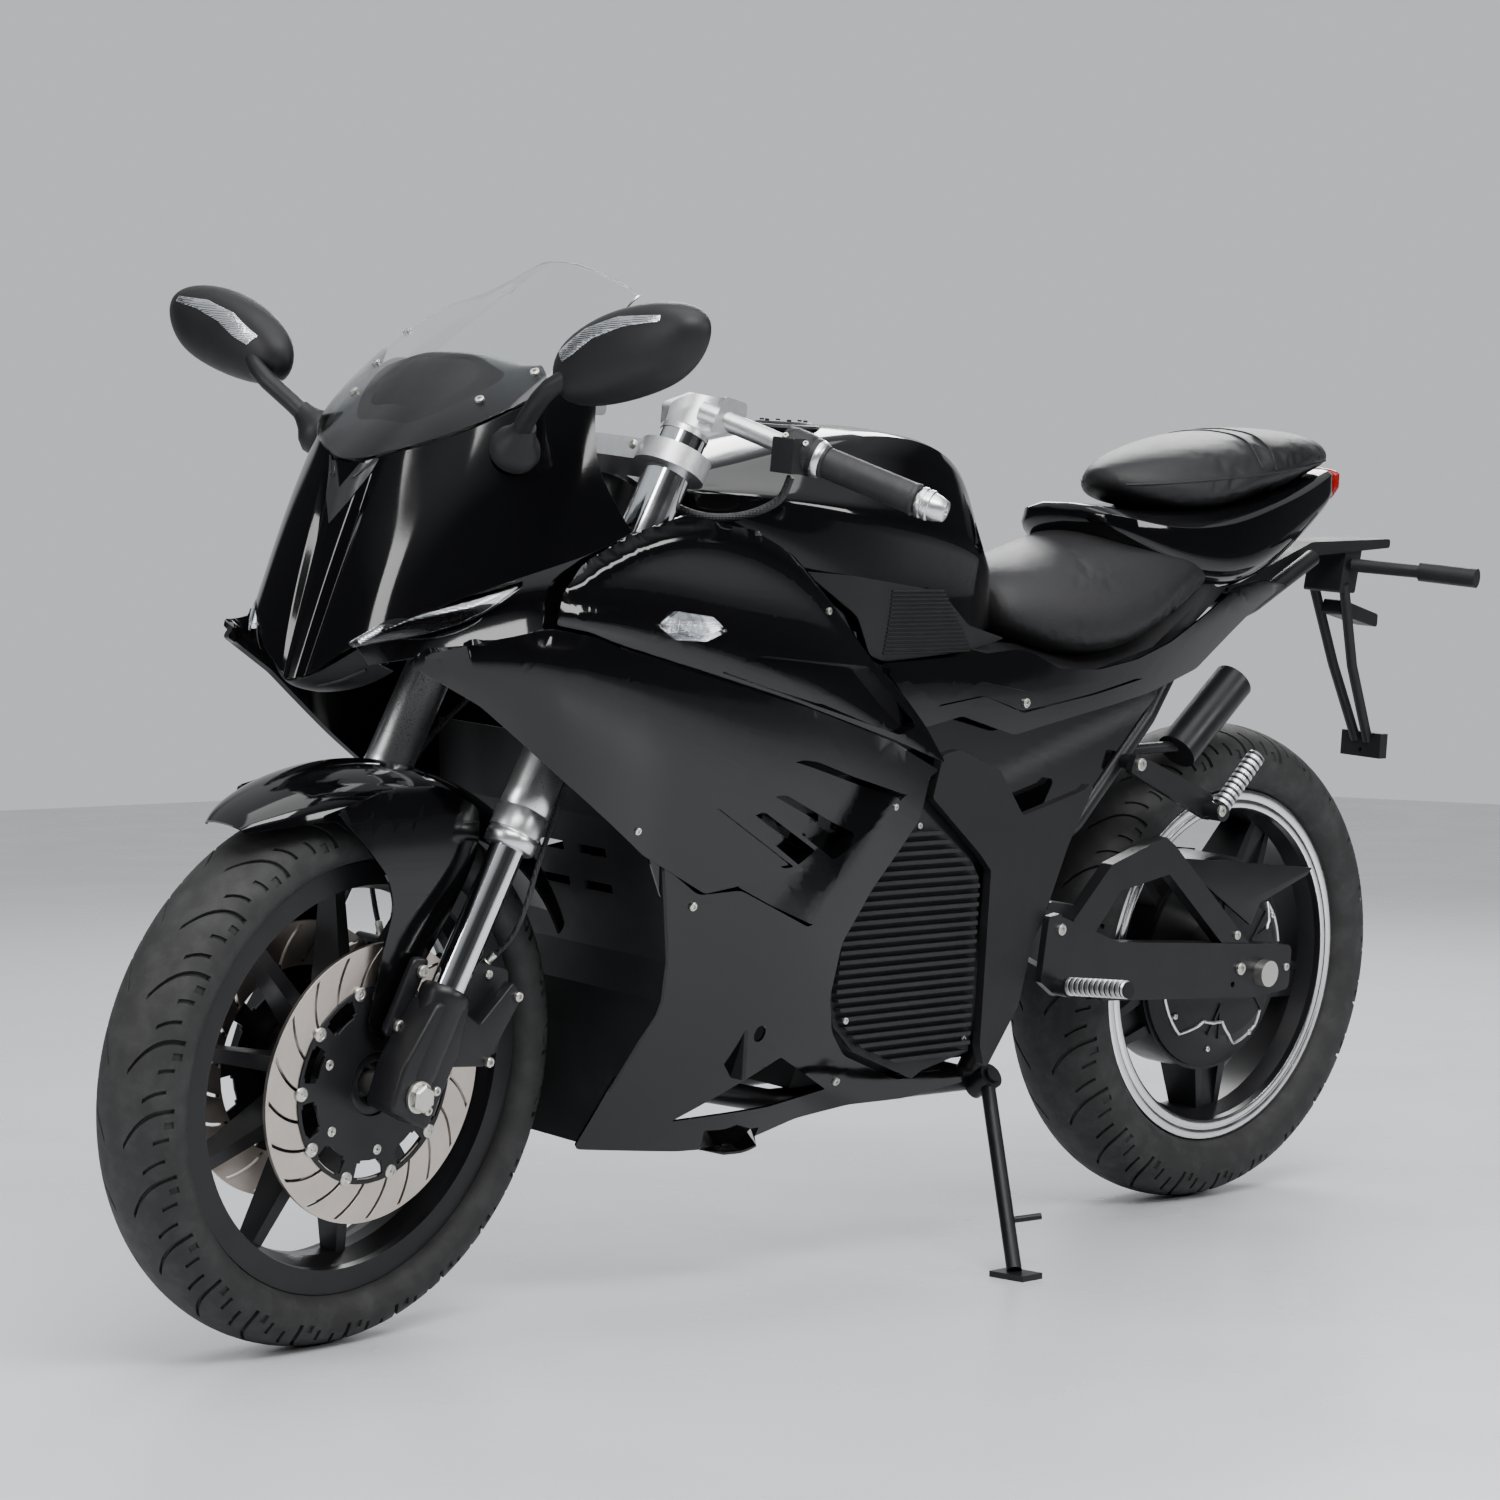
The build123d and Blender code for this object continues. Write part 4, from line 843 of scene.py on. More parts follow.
# Nose: rows of points from the centre line to the rear edge, columns named by place:
# spine, spine edge, groove, lobe front, lobe roll, lobe side, cheek, cheek rear, shoulder, rear edge
COWL = [
    [(790, 0, 706), (786, 11, 708), (779, 16, 710), (780, 24, 713), (776, 52, 729), (768, 90, 754),
     (736, 136, 782), (655, 190, 823), (563, 207, 850), (514, 210, 874)],
    [(769, 0, 780), (765, 14, 782), (756, 21, 784), (762, 33, 788), (757, 66, 798), (745, 102, 812),
     (712, 140, 834), (642, 184, 864), (575, 200, 888), (536, 203, 906)],
    [(746, 0, 855), (742, 18, 857), (733, 27, 859), (738, 40, 864), (728, 78, 874), (712, 113, 886),
     (680, 146, 902), (622, 176, 926), (582, 190, 942), (560, 192, 952)],
    [(725, 0, 929), (721, 26, 932), (715, 38, 936), (711, 52, 940), (702, 80, 948), (680, 110, 961),
     (652, 134, 978), (610, 157, 1003), (572, 171, 1027), (542, 177, 1047)],
]
SCREEN_ROWS = [
    COWL[3],
    [(652, 0, 1000), (650, 22, 1000), (646, 34, 1002), (641, 46, 1004), (630, 72, 1010), (610, 98, 1020),
     (585, 122, 1033), (556, 143, 1050), (531, 156, 1064), (514, 162, 1073)],
    [(553, 0, 1083), (552, 18, 1083), (549, 28, 1083), (546, 38, 1084), (538, 60, 1087), (525, 83, 1091),
     (509, 104, 1096), (493, 122, 1101), (479, 134, 1105), (470, 139, 1107)],
    [(452, 0, 1149), (451, 14, 1149), (450, 22, 1148), (448, 30, 1147), (444, 48, 1143), (439, 66, 1137),
     (434, 82, 1131), (430, 94, 1125), (427, 101, 1120), (424, 106, 1116)],
]
COWL_CREASES = (0, 1, 2, 3)
# The bubble stands this far off its rows, clear of the cowl
SCREEN_SHIFT = Vector((2.5, 0, 3.0))


def nose():
    """The cowl with its creases, and the screen's bubble."""
    piece("nose_skin", shell(COWL, COWL_CREASES), PAINT, "nose_cowl", wall=PANEL_T, bevel=0.8)
    glass = shell(SCREEN_ROWS)
    bmesh.ops.translate(glass, vec=SCREEN_SHIFT, verts=glass.verts[:])
    piece("screen_bubble", glass, SCREEN, "windscreen", wall=3.0, bevel=0.8)


# Tank, seats and tail: stations across the machine, each from its low side to the centre line.
# A row in square brackets is written out in full, because its x changes along it.
TANK = [
    (308, [(50, 872), (58, 890), (54, 910), (26, 922), (0, 925)]),
    [(292, 66, 864), (294, 78, 890), (296, 72, 914), (298, 36, 930), (299, 0, 934)],
    (230, [(108, 818), (120, 870), (114, 914), (62, 948), (0, 954)]),
    (160, [(132, 775), (139, 838), (137, 908), (78, 968), (0, 976)]),
    (80, [(141, 745), (141, 818), (143, 893), (92, 984), (0, 993)]),
    (0, [(137, 744), (131, 806), (139, 882), (94, 986), (0, 997)]),
    (-80, [(126, 746), (119, 802), (127, 866), (88, 972), (0, 988)]),
    (-150, [(99, 752), (97, 797), (104, 846), (68, 930), (0, 948)]),
    [(-192, 76, 757), (-192, 74, 790), (-192, 70, 820), (-190, 34, 862), (-190, 0, 876)],
    (-200, [(60, 760), (58, 786), (54, 810), (26, 840), (0, 850)]),
]
CAP_PLACE = Vector((100, 0, 988))
CAP_RING = [(0, 0), (0, 41), (4, 44), (7, 42), (8, 38), (3, 36), (1, 0)]
CAP_LID = [(0, 0), (0, 33), (2, 34), (8, 34), (10, 31), (10.5, 12), (9, 10), (9, 0)]
CAP_SCREWS = 6
CAP_SCREW_RING = 26


def tank():
    """Tank cover, and the charge cap in its ring."""
    piece("tank_shell", half_loft(TANK, (0, 2, 3), 3), PAINT, "tank_cover")
    piece("cap_ring", turned(CAP_RING, CAP_PLACE - Vector((0, 0, 6)), UP, 64), CAST, sharp=30)
    parts = [turned(CAP_LID, CAP_PLACE - Vector((0, 0, 5)), UP, 64)]
    for k in range(CAP_SCREWS):
        a = math.tau * k / CAP_SCREWS
        spot = Vector((CAP_SCREW_RING * math.cos(a), CAP_SCREW_RING * math.sin(a), 5))
        parts.append(cap_screw(CAP_PLACE + spot, UP, 2.6))
    piece("charge_cap_lid", parts, CAST, "charge_cap", body="charge_cap", slot="gloss_black", sharp=30)


RIDER_SEAT = [
    [(-212, 60, 760), (-212, 66, 782), (-213, 50, 806), (-214, 0, 812)],
    [(-240, 82, 742), (-240, 88, 776), (-242, 66, 822), (-244, 0, 838)],
    (-300, [(106, 720), (114, 762), (94, 832), (0, 852)]),
    (-370, [(124, 716), (134, 766), (110, 848), (0, 872)]),
    (-450, [(128, 740), (134, 792), (106, 872), (0, 896)]),
    (-530, [(116, 778), (121, 830), (92, 890), (0, 906)]),
    (-580, [(98, 808), (101, 852), (76, 894), (0, 906)]),
    (-594, [(86, 822), (88, 854), (64, 886), (0, 896)]),
]
PASSENGER_SEAT = [
    (-456, [(22, 932), (26, 940), (18, 950), (0, 953)]),
    (-484, [(54, 914), (60, 932), (44, 960), (0, 970)]),
    (-534, [(84, 902), (92, 930), (70, 974), (0, 986)]),
    (-600, [(100, 906), (109, 940), (84, 986), (0, 996)]),
    (-670, [(104, 922), (111, 954), (87, 996), (0, 1005)]),
    (-750, [(98, 942), (103, 970), (78, 1005), (0, 1012)]),
    (-822, [(78, 960), (82, 982), (58, 1006), (0, 1011)]),
    (-862, [(54, 972), (57, 986), (40, 1000), (0, 1003)]),
]
SEAT_VOXEL = 0.0055
SEAT_PRESSURE = 4.0
SEAT_FRAMES = 20
CLOTH_STIFFNESS = 20
# Cross welts of the passenger seat: x on the centre line, and how far they lean ahead outwards
WELTS_X = (-668, -696)
WELT_LEAN = 0.10


def seat(name, rows, travel, node):
    """Padded seat: an even mesh blown up a little as cloth, its travel in metres capped."""
    pad = added(name, as_mesh(name, half_loft(rows)))
    pad.data.transform(MACHINE)
    remesh = pad.modifiers.new("even", "REMESH")
    remesh.mode = "VOXEL"
    remesh.voxel_size = SEAT_VOXEL
    even = evaluated(pad)
    pad.modifiers.clear()
    pad.data = even
    settings = pad.modifiers.new("cloth", "CLOTH").settings
    settings.use_pressure = True
    settings.uniform_pressure_force = SEAT_PRESSURE
    settings.effector_weights.gravity = 0.0
    settings.quality = 4
    settings.tension_stiffness = CLOTH_STIFFNESS
    settings.compression_stiffness = CLOTH_STIFFNESS
    settings.bending_stiffness = CLOTH_STIFFNESS / 10
    for number in range(1, SEAT_FRAMES + 1):
        bpy.context.scene.frame_set(number)
    blown = evaluated(pad)
    pad.modifiers.clear()
    for v, start in zip(blown.vertices, even.vertices):
        move = v.co - start.co
        if move.length > travel:
            v.co = start.co + move.normalized() * travel
    pad.data = blown
    bpy.context.scene.frame_set(1)
    for polygon in pad.data.polygons:
        polygon.use_smooth = True
    pad.data.materials.clear()
    pad.data.materials.append(LEATHER)
    finer = pad.modifiers.new("smooth", "SUBSURF")
    finer.levels = finer.render_levels = 1
    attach(pad, "chassis")
    return assigned(pad, [node])


def seats():
    """Both seats, and the passenger seat's welts: two across it and one along each side."""
    seat("rider_seat_pad", RIDER_SEAT, 0.007, "rider_seat")
    tree = surface_of(seat("passenger_seat_pad", PASSENGER_SEAT, 0.006, "passenger_seat"))
    down, inwards, lift = (0, 0, -1), (0, -1, 0), 0.2
    welts = []
    for x in WELTS_X:
        across = [(x + abs(y) * WELT_LEAN, y, 1000) for y in range(-100, 101, 8)]
        welts.append(bead(laid_line(tree, across, down, lift), 1.6))
    along = [(x, 200, 927 + (-x - 400) * 0.115) for x in range(-400, -850, -14)]
    welts.append(both_sides(bead(laid_line(tree, along, inwards, lift), 1.5)))
    piece("passenger_seat_welts", welts, LEATHER)


TAIL = [
    (-392, [(62, 878), (70, 890), (66, 904), (40, 912), (0, 914)]),
    (-430, [(92, 848), (102, 872), (98, 894), (62, 906), (0, 908)]),
    (-500, [(98, 816), (114, 848), (110, 884), (76, 902), (0, 904)]),
    (-600, [(104, 796), (121, 836), (113, 892), (92, 908), (0, 912)]),
    (-690, [(84, 806), (108, 862), (104, 916), (88, 926), (0, 930)]),
    (-780, [(58, 846), (86, 898), (86, 936), (76, 946), (0, 950)]),
    (-850, [(44, 888), (66, 930), (64, 958), (54, 964), (0, 968)]),
    (-872, [(38, 904), (58, 938), (56, 962), (48, 967), (0, 970)]),
]
TAIL_LAMP = [
    (-873, [(40, 906), (57, 938), (55, 960), (46, 966), (0, 968)]),
    (-888, [(36, 918), (50, 942), (50, 960), (42, 966), (0, 968)]),
    (-904, [(26, 932), (36, 948), (36, 958), (28, 963), (0, 965)]),
]
SEAT_PANEL = [(70, 728), (-90, 734), (-182, 740), (-206, 736), (-259, 716), (-330, 714), (-400, 726),
              (-460, 746), (-525, 778), (-592, 814), (-650, 824), (-712, 816), (-641, 780), (-540, 711),
              (-437, 683), (-184, 638), (-80, 664), (-10, 652)]
SEAT_CREASE = [(-30, 676), (-120, 686), (-196, 664), (-330, 684), (-420, 702), (-330, 700), (-200, 690),
               (-110, 704)]
# Columns: bottom edge, middle, top edge of the panel below the seat.
SEAT_SIDE = [
    (90, [(148, 640), (156, 690), (150, 740)]),
    (0, [(146, 640), (152, 690), (146, 742)]),
    (-100, [(138, 640), (143, 700), (136, 745)]),
    (-220, [(126, 620), (134, 680), (128, 740)]),
    (-340, [(118, 606), (129, 660), (133, 716)]),
    (-460, [(112, 650), (124, 700), (133, 742)]),
    (-560, [(106, 706), (118, 752), (128, 790)]),
    (-700, [(92, 780), (104, 800), (112, 820)]),
]


def tail():
    """Panels below the seats, tail fairing and tail lamp."""
    panels = side_panel(SEAT_PANEL, skin(SEAT_SIDE), sunk=[(SEAT_CREASE, 3.0, 3.0)], pitch=12.0, corner=7.0)
    piece("seat_side_skins", panels, PAINT, "seat_panels", wall=PANEL_T, bevel=0.9)
    piece("tail_shell", half_loft(TAIL, (1, 2, 3)), PAINT, "tail_fairing", bevel=0.8)
    piece("tail_lamp_lens", half_loft(TAIL_LAMP, (1, 2)), RED, "tail_lamp")


# Wheels

BEAD_SEAT_R = 215.9
FLANGE_R = 231.0
REPEATS = 24
# Widths in degrees of the columns in one repeat of the tread
TREAD_COLUMNS = [1.2, 1.6, 1.6, 0.95, 1.8, 1.8, 1.0, 1.7, 1.7, 1.65]
# Groove: column, first and last row of a crown half, depth
TREAD_GROOVES = [(0, 2, 11, 4.2), (3, 5, 9, 3.6), (6, 7, 10, 3.0), (8, 9, 11, 2.4)]
CROWN_ROWS = 13
WALL_ROWS = 9
TREAD_SWEEP = 14.0
SWEEP_POWER = 1.8
GROOVE_EDGE = 0.8
# Tyre's foot: set in from the rim's half width, thickness over the rim; share of the wall that it
# tucks in at its widest place, and how high up that place is
FOOT_IN = 5
FOOT_THICK = 9
WALL_TUCK = 0.22
WALL_WIDEST = 0.3
# Tyre: node, axle, width, outer radius, drop of the crown, rim width
TYRES = [
    ("front_tyre", FRONT_AXLE, 110.0, FRONT_R, 38.0, 76.0),
    ("rear_tyre", REAR_AXLE, 140.0, REAR_R, 46.0, 104.0),
]
# Bright band of the rear rim: its profile out from the rim's half width and above a radius
RIM_HALF = 52.0
BAND_R = 206.0
BAND = [(-5, 1.0), (0.5, 1.4), (1.6, 3.6), (1.6, 10.0), (0.6, 11.4), (0.6, 13.0), (1.6, 14.2), (1.8, 22.0),
        (0.9, 24.6), (-2.0, 25.4)]


def arc_points(a, b, c, count):
    """Points on the circle through three places of two numbers, ends included."""
    (ax, ay), (bx, by), (cx, cy) = a, b, c
    d = 2 * (ax * (by - cy) + bx * (cy - ay) + cx * (ay - by))
    sa, sb, sc = ax * ax + ay * ay, bx * bx + by * by, cx * cx + cy * cy
    ox = (sa * (by - cy) + sb * (cy - ay) + sc * (ay - by)) / d
    oy = (sa * (cx - bx) + sb * (ax - cx) + sc * (bx - ax)) / d
    centre = Vector((ox, oy))
    start, end = Vector(a) - centre, Vector(c) - centre
    turn = -start.angle_signed(end)
    result = []
    for k in range(count):
        angle = turn * k / (count - 1)
        x = start.x * math.cos(angle) - start.y * math.sin(angle)
        y = start.x * math.sin(angle) + start.y * math.cos(angle)
        result.append((centre.x + x, centre.y + y))
    return result


def repeated(segment, centre, count):
    """Copies of a wheel segment all the way round the axle, merged."""
    made = bmesh.new()
    mesh = as_mesh("segment", segment)
    for k in range(count):
        start = len(made.verts)
        made.from_mesh(mesh)
        made.verts.ensure_lookup_table()
        bmesh.ops.rotate(made, cent=centre, matrix=Matrix.Rotation(math.tau * k / count, 3, "Y"),
                         verts=made.verts[start:])
    bpy.data.meshes.remove(mesh)
    bmesh.ops.remove_doubles(made, verts=made.verts[:], dist=0.05)
    bmesh.ops.recalc_face_normals(made, faces=made.faces[:])
    return made


def starts(widths):
    """Where each of some widths begins, and where the last one ends."""
    return [sum(widths[:k]) for k in range(len(widths) + 1)]


def grid_faces(bm, grid, skipped=lambda i, j: False):
    """Faces between the rows of a grid of vertices, by row and column."""
    faces = {}
    for i, (low, high) in enumerate(zip(grid, grid[1:])):
        for j in range(len(low) - 1):
            if not skipped(i, j):
                faces[i, j] = bm.faces.new((low[j], low[j + 1], high[j + 1], high[j]))
    return faces


def tyre(node, centre, width, outer, drop, rim_width):
    """Tyre with V-shaped tread grooves pressed into a twisted segment."""
    half = width / 2
    foot = rim_width / 2 - FOOT_IN
    lip = FLANGE_R + 1
    shoulder = outer - drop
    side = half - WALL_TUCK * (half - foot)
    bulge = lip + WALL_WIDEST * (shoulder - lip)
    quarters = [math.radians(90) * k / (CROWN_ROWS - 1) for k in range(CROWN_ROWS)]
    crown = [(half * math.sin(a), shoulder + drop * math.cos(a)) for a in quarters]
    wall = arc_points((half, shoulder), (side, bulge), (foot, lip), WALL_ROWS)[1:]
    left = crown + wall + [(foot, BEAD_SEAT_R), (foot - FOOT_THICK, BEAD_SEAT_R), (foot - FOOT_THICK, lip)]
    rows = [(-y, r) for y, r in reversed(left[1:])] + left
    middle = len(left) - 1
    bm = bmesh.new()
    grid = []
    for y, r in rows:
        share = min(1.0, abs(y) / half)
        sweep = TREAD_SWEEP * (1 - (1 - share) ** SWEEP_POWER) if r > shoulder - 1 else TREAD_SWEEP
        grid.append([bm.verts.new(polar(centre, a + sweep, r, y)) for a in starts(TREAD_COLUMNS)])
    faces = grid_faces(bm, grid)
    bmesh.ops.recalc_face_normals(bm, faces=bm.faces[:])
    probe = faces[middle, 0]
    if probe.normal.dot(probe.calc_center_median() - centre) < 0:
        bmesh.ops.reverse_faces(bm, faces=bm.faces[:])
    for column, first, last, depth in TREAD_GROOVES:
        for rows_in in (range(middle + first, middle + last), range(middle - last, middle - first)):
            bmesh.ops.inset_region(bm, faces=[faces[i, column] for i in rows_in], thickness=GROOVE_EDGE,
                                   depth=-depth, use_boundary=True, use_even_offset=True)
    wheel = node.split("_")[0] + "_wheel"
    piece(node + "_tread", repeated(bm, centre, REPEATS), TYRE, node, body=wheel, sharp=34)


def wheels():
    """Tyres, and on the rear rim a bright band with a dark seam between two rounded lips."""
    for row in TYRES:
        tyre(*row)
    band = turned([(RIM_HALF + a, BAND_R + r) for a, r in BAND], REAR_AXLE, LEFT, 96)
    piece("rear_rim_bands", both_sides(band), RIM_EDGE, body="rear_wheel", sharp=50)


DISC_T = 4.5
DISC_Y = 62.0
DISC_ROWS = [101.0, 104.0, 110.0, 117.0, 124.0, 131.0, 138.0, 145.0, 149.0]
DISC_COLUMNS = [1.9, 2.7, 2.7, 2.7, 2.7, 2.7, 2.6]
DISC_SWEEP = 17.0
DISC_SLOTS = 20
BUTTONS = 10
CARRIER_ROWS = [34.0, 40.0, 82.0, 85.0, 100.0, 102.5, 107.0]
CARRIER_SHARES = [0.0, 0.18, 0.26, 0.5, 0.74, 0.82, 1.0]
# Each side of the wheel: the carrier's outer face and the rivets' foot, both y
CARRIER_FACES = {1: (66.2, 64.6), -1: (-61.6, -66.4)}
# Rivets: count, first angle, ring radius, radius
RIVETS = [(BUTTONS, 0, 102.5, 7.6), (6, 22, 72.0, 5.6)]
# Boss in each carrier: profile outwards from its foot, y of the foot
BOSS = [(0, 50), (14, 48), (20, 40), (20, 24), (12, 18), (2, 18)]
BOSS_Y = 44.0


def plate(y, radii, angles_at, skipped, count):
    """Flat ring with openings, drawn as one repeat and copied round the front wheel."""
    bm = bmesh.new()
    grid = [[bm.verts.new(polar(FRONT_AXLE, a, r, y)) for a in angles_at(r)] for r in radii]
    grid_faces(bm, grid, skipped)
    return outward(repeated(bm, FRONT_AXLE, count), LEFT)


def disc_angles(r):
    """Angles of a disc's columns at a radius: the slots sweep back outwards."""
    sweep = DISC_SWEEP * ((r - DISC_ROWS[0]) / (DISC_ROWS[-1] - DISC_ROWS[0])) ** 1.3
    return [a + sweep for a in starts(DISC_COLUMNS)]


def in_slot(i, j):
    """The first column of a disc is its slot, between the first and the last row."""
    return j == 0 and 0 < i < len(DISC_ROWS) - 2


def in_window(i, j):
    """The window between two rivets of a carrier."""
    return i in (2, 3, 4) and j in (2, 3) or i == 3 and j in (1, 4)


def front_discs():
    """On each side a slotted disc, its carrier with a boss, and the rivets between them."""
    bands, carriers, studs = [], [], []
    for side in SIDES:
        face, foot = CARRIER_FACES[side]
        bands.append(plate(side * DISC_Y + DISC_T / 2, DISC_ROWS, disc_angles, in_slot, DISC_SLOTS))
        carriers.append(plate(face, CARRIER_ROWS, lambda r: [360.0 / BUTTONS * a for a in CARRIER_SHARES],
                              in_window, BUTTONS))
        for count, first, place_r, radius in RIVETS:
            studs += [stud(polar(FRONT_AXLE, 360 // count * k + first, place_r, foot), (0, side, 0), radius)
                      for k in range(count)]
        carriers.append(turned(BOSS, FRONT_AXLE + Vector((0, side * BOSS_Y, 0)), (0, side, 0), 40))
    piece("front_disc_bands", bands, DISC, "front_discs", body="front_wheel", wall=DISC_T, bevel=0.4)
    piece("disc_carriers", carriers, COAT, body="front_wheel", wall=3.0, bevel=0.7)
    piece("disc_studs", studs, ZINC, body="front_wheel", sharp=50)


# Fork: profiles run up the fork line from a distance above the axle, outlines are (ahead, up the line)
CASTING_LOW = 12
CASTING = [(0, 20), (0, 23), (6, 25.5), (88, 25.5), (92, 27), (100, 27), (104, 24.5), (104, 19)]
TUBE_LOW = 100
TUBE = [(0, 18.9), (190, 18.9)]
COLLAR_LOW = 277.0
COLLAR = [(0, 19.4), (0, 25.6), (1.5, 27.4), (9, 27.8), (14, 27.8), (15, 26.9), (17, 26.9), (18, 28.2),
          (40, 28.2), (42, 26.9), (44, 26.9), (45, 27.6), (62, 26.6), (220, 26.6)]
LUG = [(-34, -26), (26, -26), (34, 20), (24, 96), (-20, 112), (-34, 60)]
CALIPER_ARM = [(-30, 40), (-92, 64), (-104, 150), (-82, 158), (-60, 100), (-28, 104)]
# Screws of a leg: up the line, ahead, out from the leg's middle, radius
LEG_SCREWS = [(-8, -20, 21.4, 5), (14, -20, 21.4, 5), (70, -92, 7.2, 5.5), (146, -94, 7.2, 5.5)]
# Ends of the axles: y of the foot, profile, steps round
FRONT_NUT = [(133.0, [(0, 15), (7, 15), (9, 12.5), (9, 0)], 6),
             (129.6, [(0, 17), (3.5, 17), (4.2, 16), (4.2, 0)], 32)]
REAR_NUT = [(116, [(0, 13), (8, 13), (10, 10.5), (10, 0)], 6),
            (113.6, [(0, 16), (3, 16), (4, 15), (4, 0)], 32)]


def nuts(axle, side, table):
    """Nut and washer on one end of an axle."""
    return [turned(profile, axle + Vector((0, side * foot, 0)), (0, side, 0), steps)
            for foot, profile, steps in table]


def fork_turned(profile, s, y, steps=40):
    """Round piece on a fork leg; the profile runs up the leg from distance s."""
    return turned(profile, on_fork(s, y), STEER_DIR, steps)


def fork_prism(outline, y, half, corner, bevel):
    """Plate in a leg's own frame: outline (ahead, up the fork)."""
    bm = prism(outline, -half, half, corner, bevel)
    bmesh.ops.rotate(bm, cent=(0, 0, 0), matrix=Matrix.Rotation(-RAKE, 3, "Y"), verts=bm.verts[:])
    bmesh.ops.translate(bm, vec=FRONT_AXLE + Vector((0, y, 0)), verts=bm.verts[:])
    return bm


def fork():
    """Both legs: axle casting, inner tube, ribbed collar, screws and axle nut."""
    castings, tubes, collars, screws = [], [], [], []
    for side in SIDES:
        y = side * FORK_HALF
        castings += [fork_turned(CASTING, CASTING_LOW, y), fork_prism(LUG, y, 21, 7, 4),
                     fork_prism(CALIPER_ARM, y, 7, 5, 2)]
        tubes.append(fork_turned(TUBE, TUBE_LOW, y))
        collars.append(fork_turned(COLLAR, COLLAR_LOW, y, 48))
        screws += [cap_screw(on_fork(s, y + side * out, ahead), (0, side, 0), radius)
                   for s, ahead, out, radius in LEG_SCREWS]
        screws += nuts(FRONT_AXLE, side, FRONT_NUT)
    piece("fork_castings", castings, COAT, "fork_legs", body="steering")
    piece("fork_inner_tubes", tubes, CHROME, body="steering")
    piece("fork_collars", collars, ALLOY, body="steering", sharp=50)
    piece("fork_screws", screws, ZINC, body="steering", sharp=30)


# Front guard: columns angle, crown radius, half width, drop of the edge
FENDER = [
    (57, 327, 30, 8), (61, 331, 48, 19), (70, 333, 62, 34), (82, 334, 71, 50), (96, 334, 74, 60),
    (110, 333, 73, 56), (124, 332, 72, 46), (138, 331, 70, 42), (147, 330, 68, 38), (152, 330, 66, 36),
]
SKIRT = [(806, 586), (772, 555), (734, 516), (719, 482), (727, 402), (736, 356), (714, 338), (696, 354),
         (678, 392), (650, 440), (606, 540), (604, 580), (660, 606), (730, 606)]
# Share of the half width and of the drop, from the crown's middle to its edge
CROWN_SHARES = ((0, 0), (0.34, 0.03), (0.66, 0.18), (0.9, 0.5), (1.0, 1.0))
# Strut on each side: outline (ahead, up the fork line), y, half thickness; its screws up the line
STRUT = [(18, 46), (40, 46), (42, 132), (20, 138)]
STRUT_Y = 84.5
STRUT_HALF = 4.5
STRUT_SCREWS = (60, 122)
STRUT_SCREW_Y = 90
STRUT_SCREW_AHEAD = 27


def skirt_y(x, z):
    """The skirt bulges at mid height, less above it."""
    return 74.0 + 12.0 * math.exp(-((z - 520) / 70.0) ** 2) * (0.6 if z > 590 else 1.0)


def fender():
    """Front guard: crown and side skirts, its struts and their screws."""
    crown = shell([[tuple(polar(FRONT_AXLE, angle, r - drop * k, half * w)) for w, k in CROWN_SHARES]
                   for angle, r, half, drop in FENDER])
    skirt = side_panel(SKIRT, skirt_y, corner=12.0, pitch=14.0)
    piece("front_guard", [crown, skirt], PAINT, "front_fender", body="steering", wall=3.0, bevel=1.0)
    strut = both_sides(fork_prism(STRUT, STRUT_Y, STRUT_HALF, 8, 2.5))
    piece("guard_struts", strut, COAT, body="steering")
    screws = [cap_screw(on_fork(s, side * STRUT_SCREW_Y, STRUT_SCREW_AHEAD), (0, side, 0), 7, 5)
              for s in STRUT_SCREWS for side in SIDES]
    piece("guard_screws", screws, ZINC, body="steering", sharp=30)


# Nose fittings

MIRROR_MIDDLE = (336, 1056)
MIRROR_OUTLINE = [(222, 1028), (233, 1060), (280, 1087), (332, 1103), (390, 1109), (424, 1102), (437, 1087),
                  (431, 1062), (408, 1038), (372, 1021), (303, 1004), (243, 1000)]
# Housing sections: place along the machine, size against the outline
MIRROR_SECTIONS = [(627, 0.94), (626, 1.0), (636, 1.03), (652, 0.98), (664, 0.8), (672, 0.46), (674, 0.14)]
STRIP = [(250, 1054), (292, 1078), (340, 1091), (398, 1094), (400, 1088), (352, 1081), (310, 1068),
         (282, 1052), (262, 1044)]
MIRROR_FOOT = [(-14, 0), (-14, 24), (-4, 27), (6, 24), (16, 17), (26, 13), (34, 11), (34, 0)]
MIRROR_FOOT_PLACE = (637, 164, 956)
MIRROR_FOOT_WAY = (0.25, 0.7, 0.66)
STALK = [(640, 168, 962), (652, 196, 985), (662, 226, 1006), (664, 244, 1018), (656, 262, 1030)]
STALK_R = 10.0
GLASS_X = 624.6
GLASS_SHARE = (0.9, 0.84)
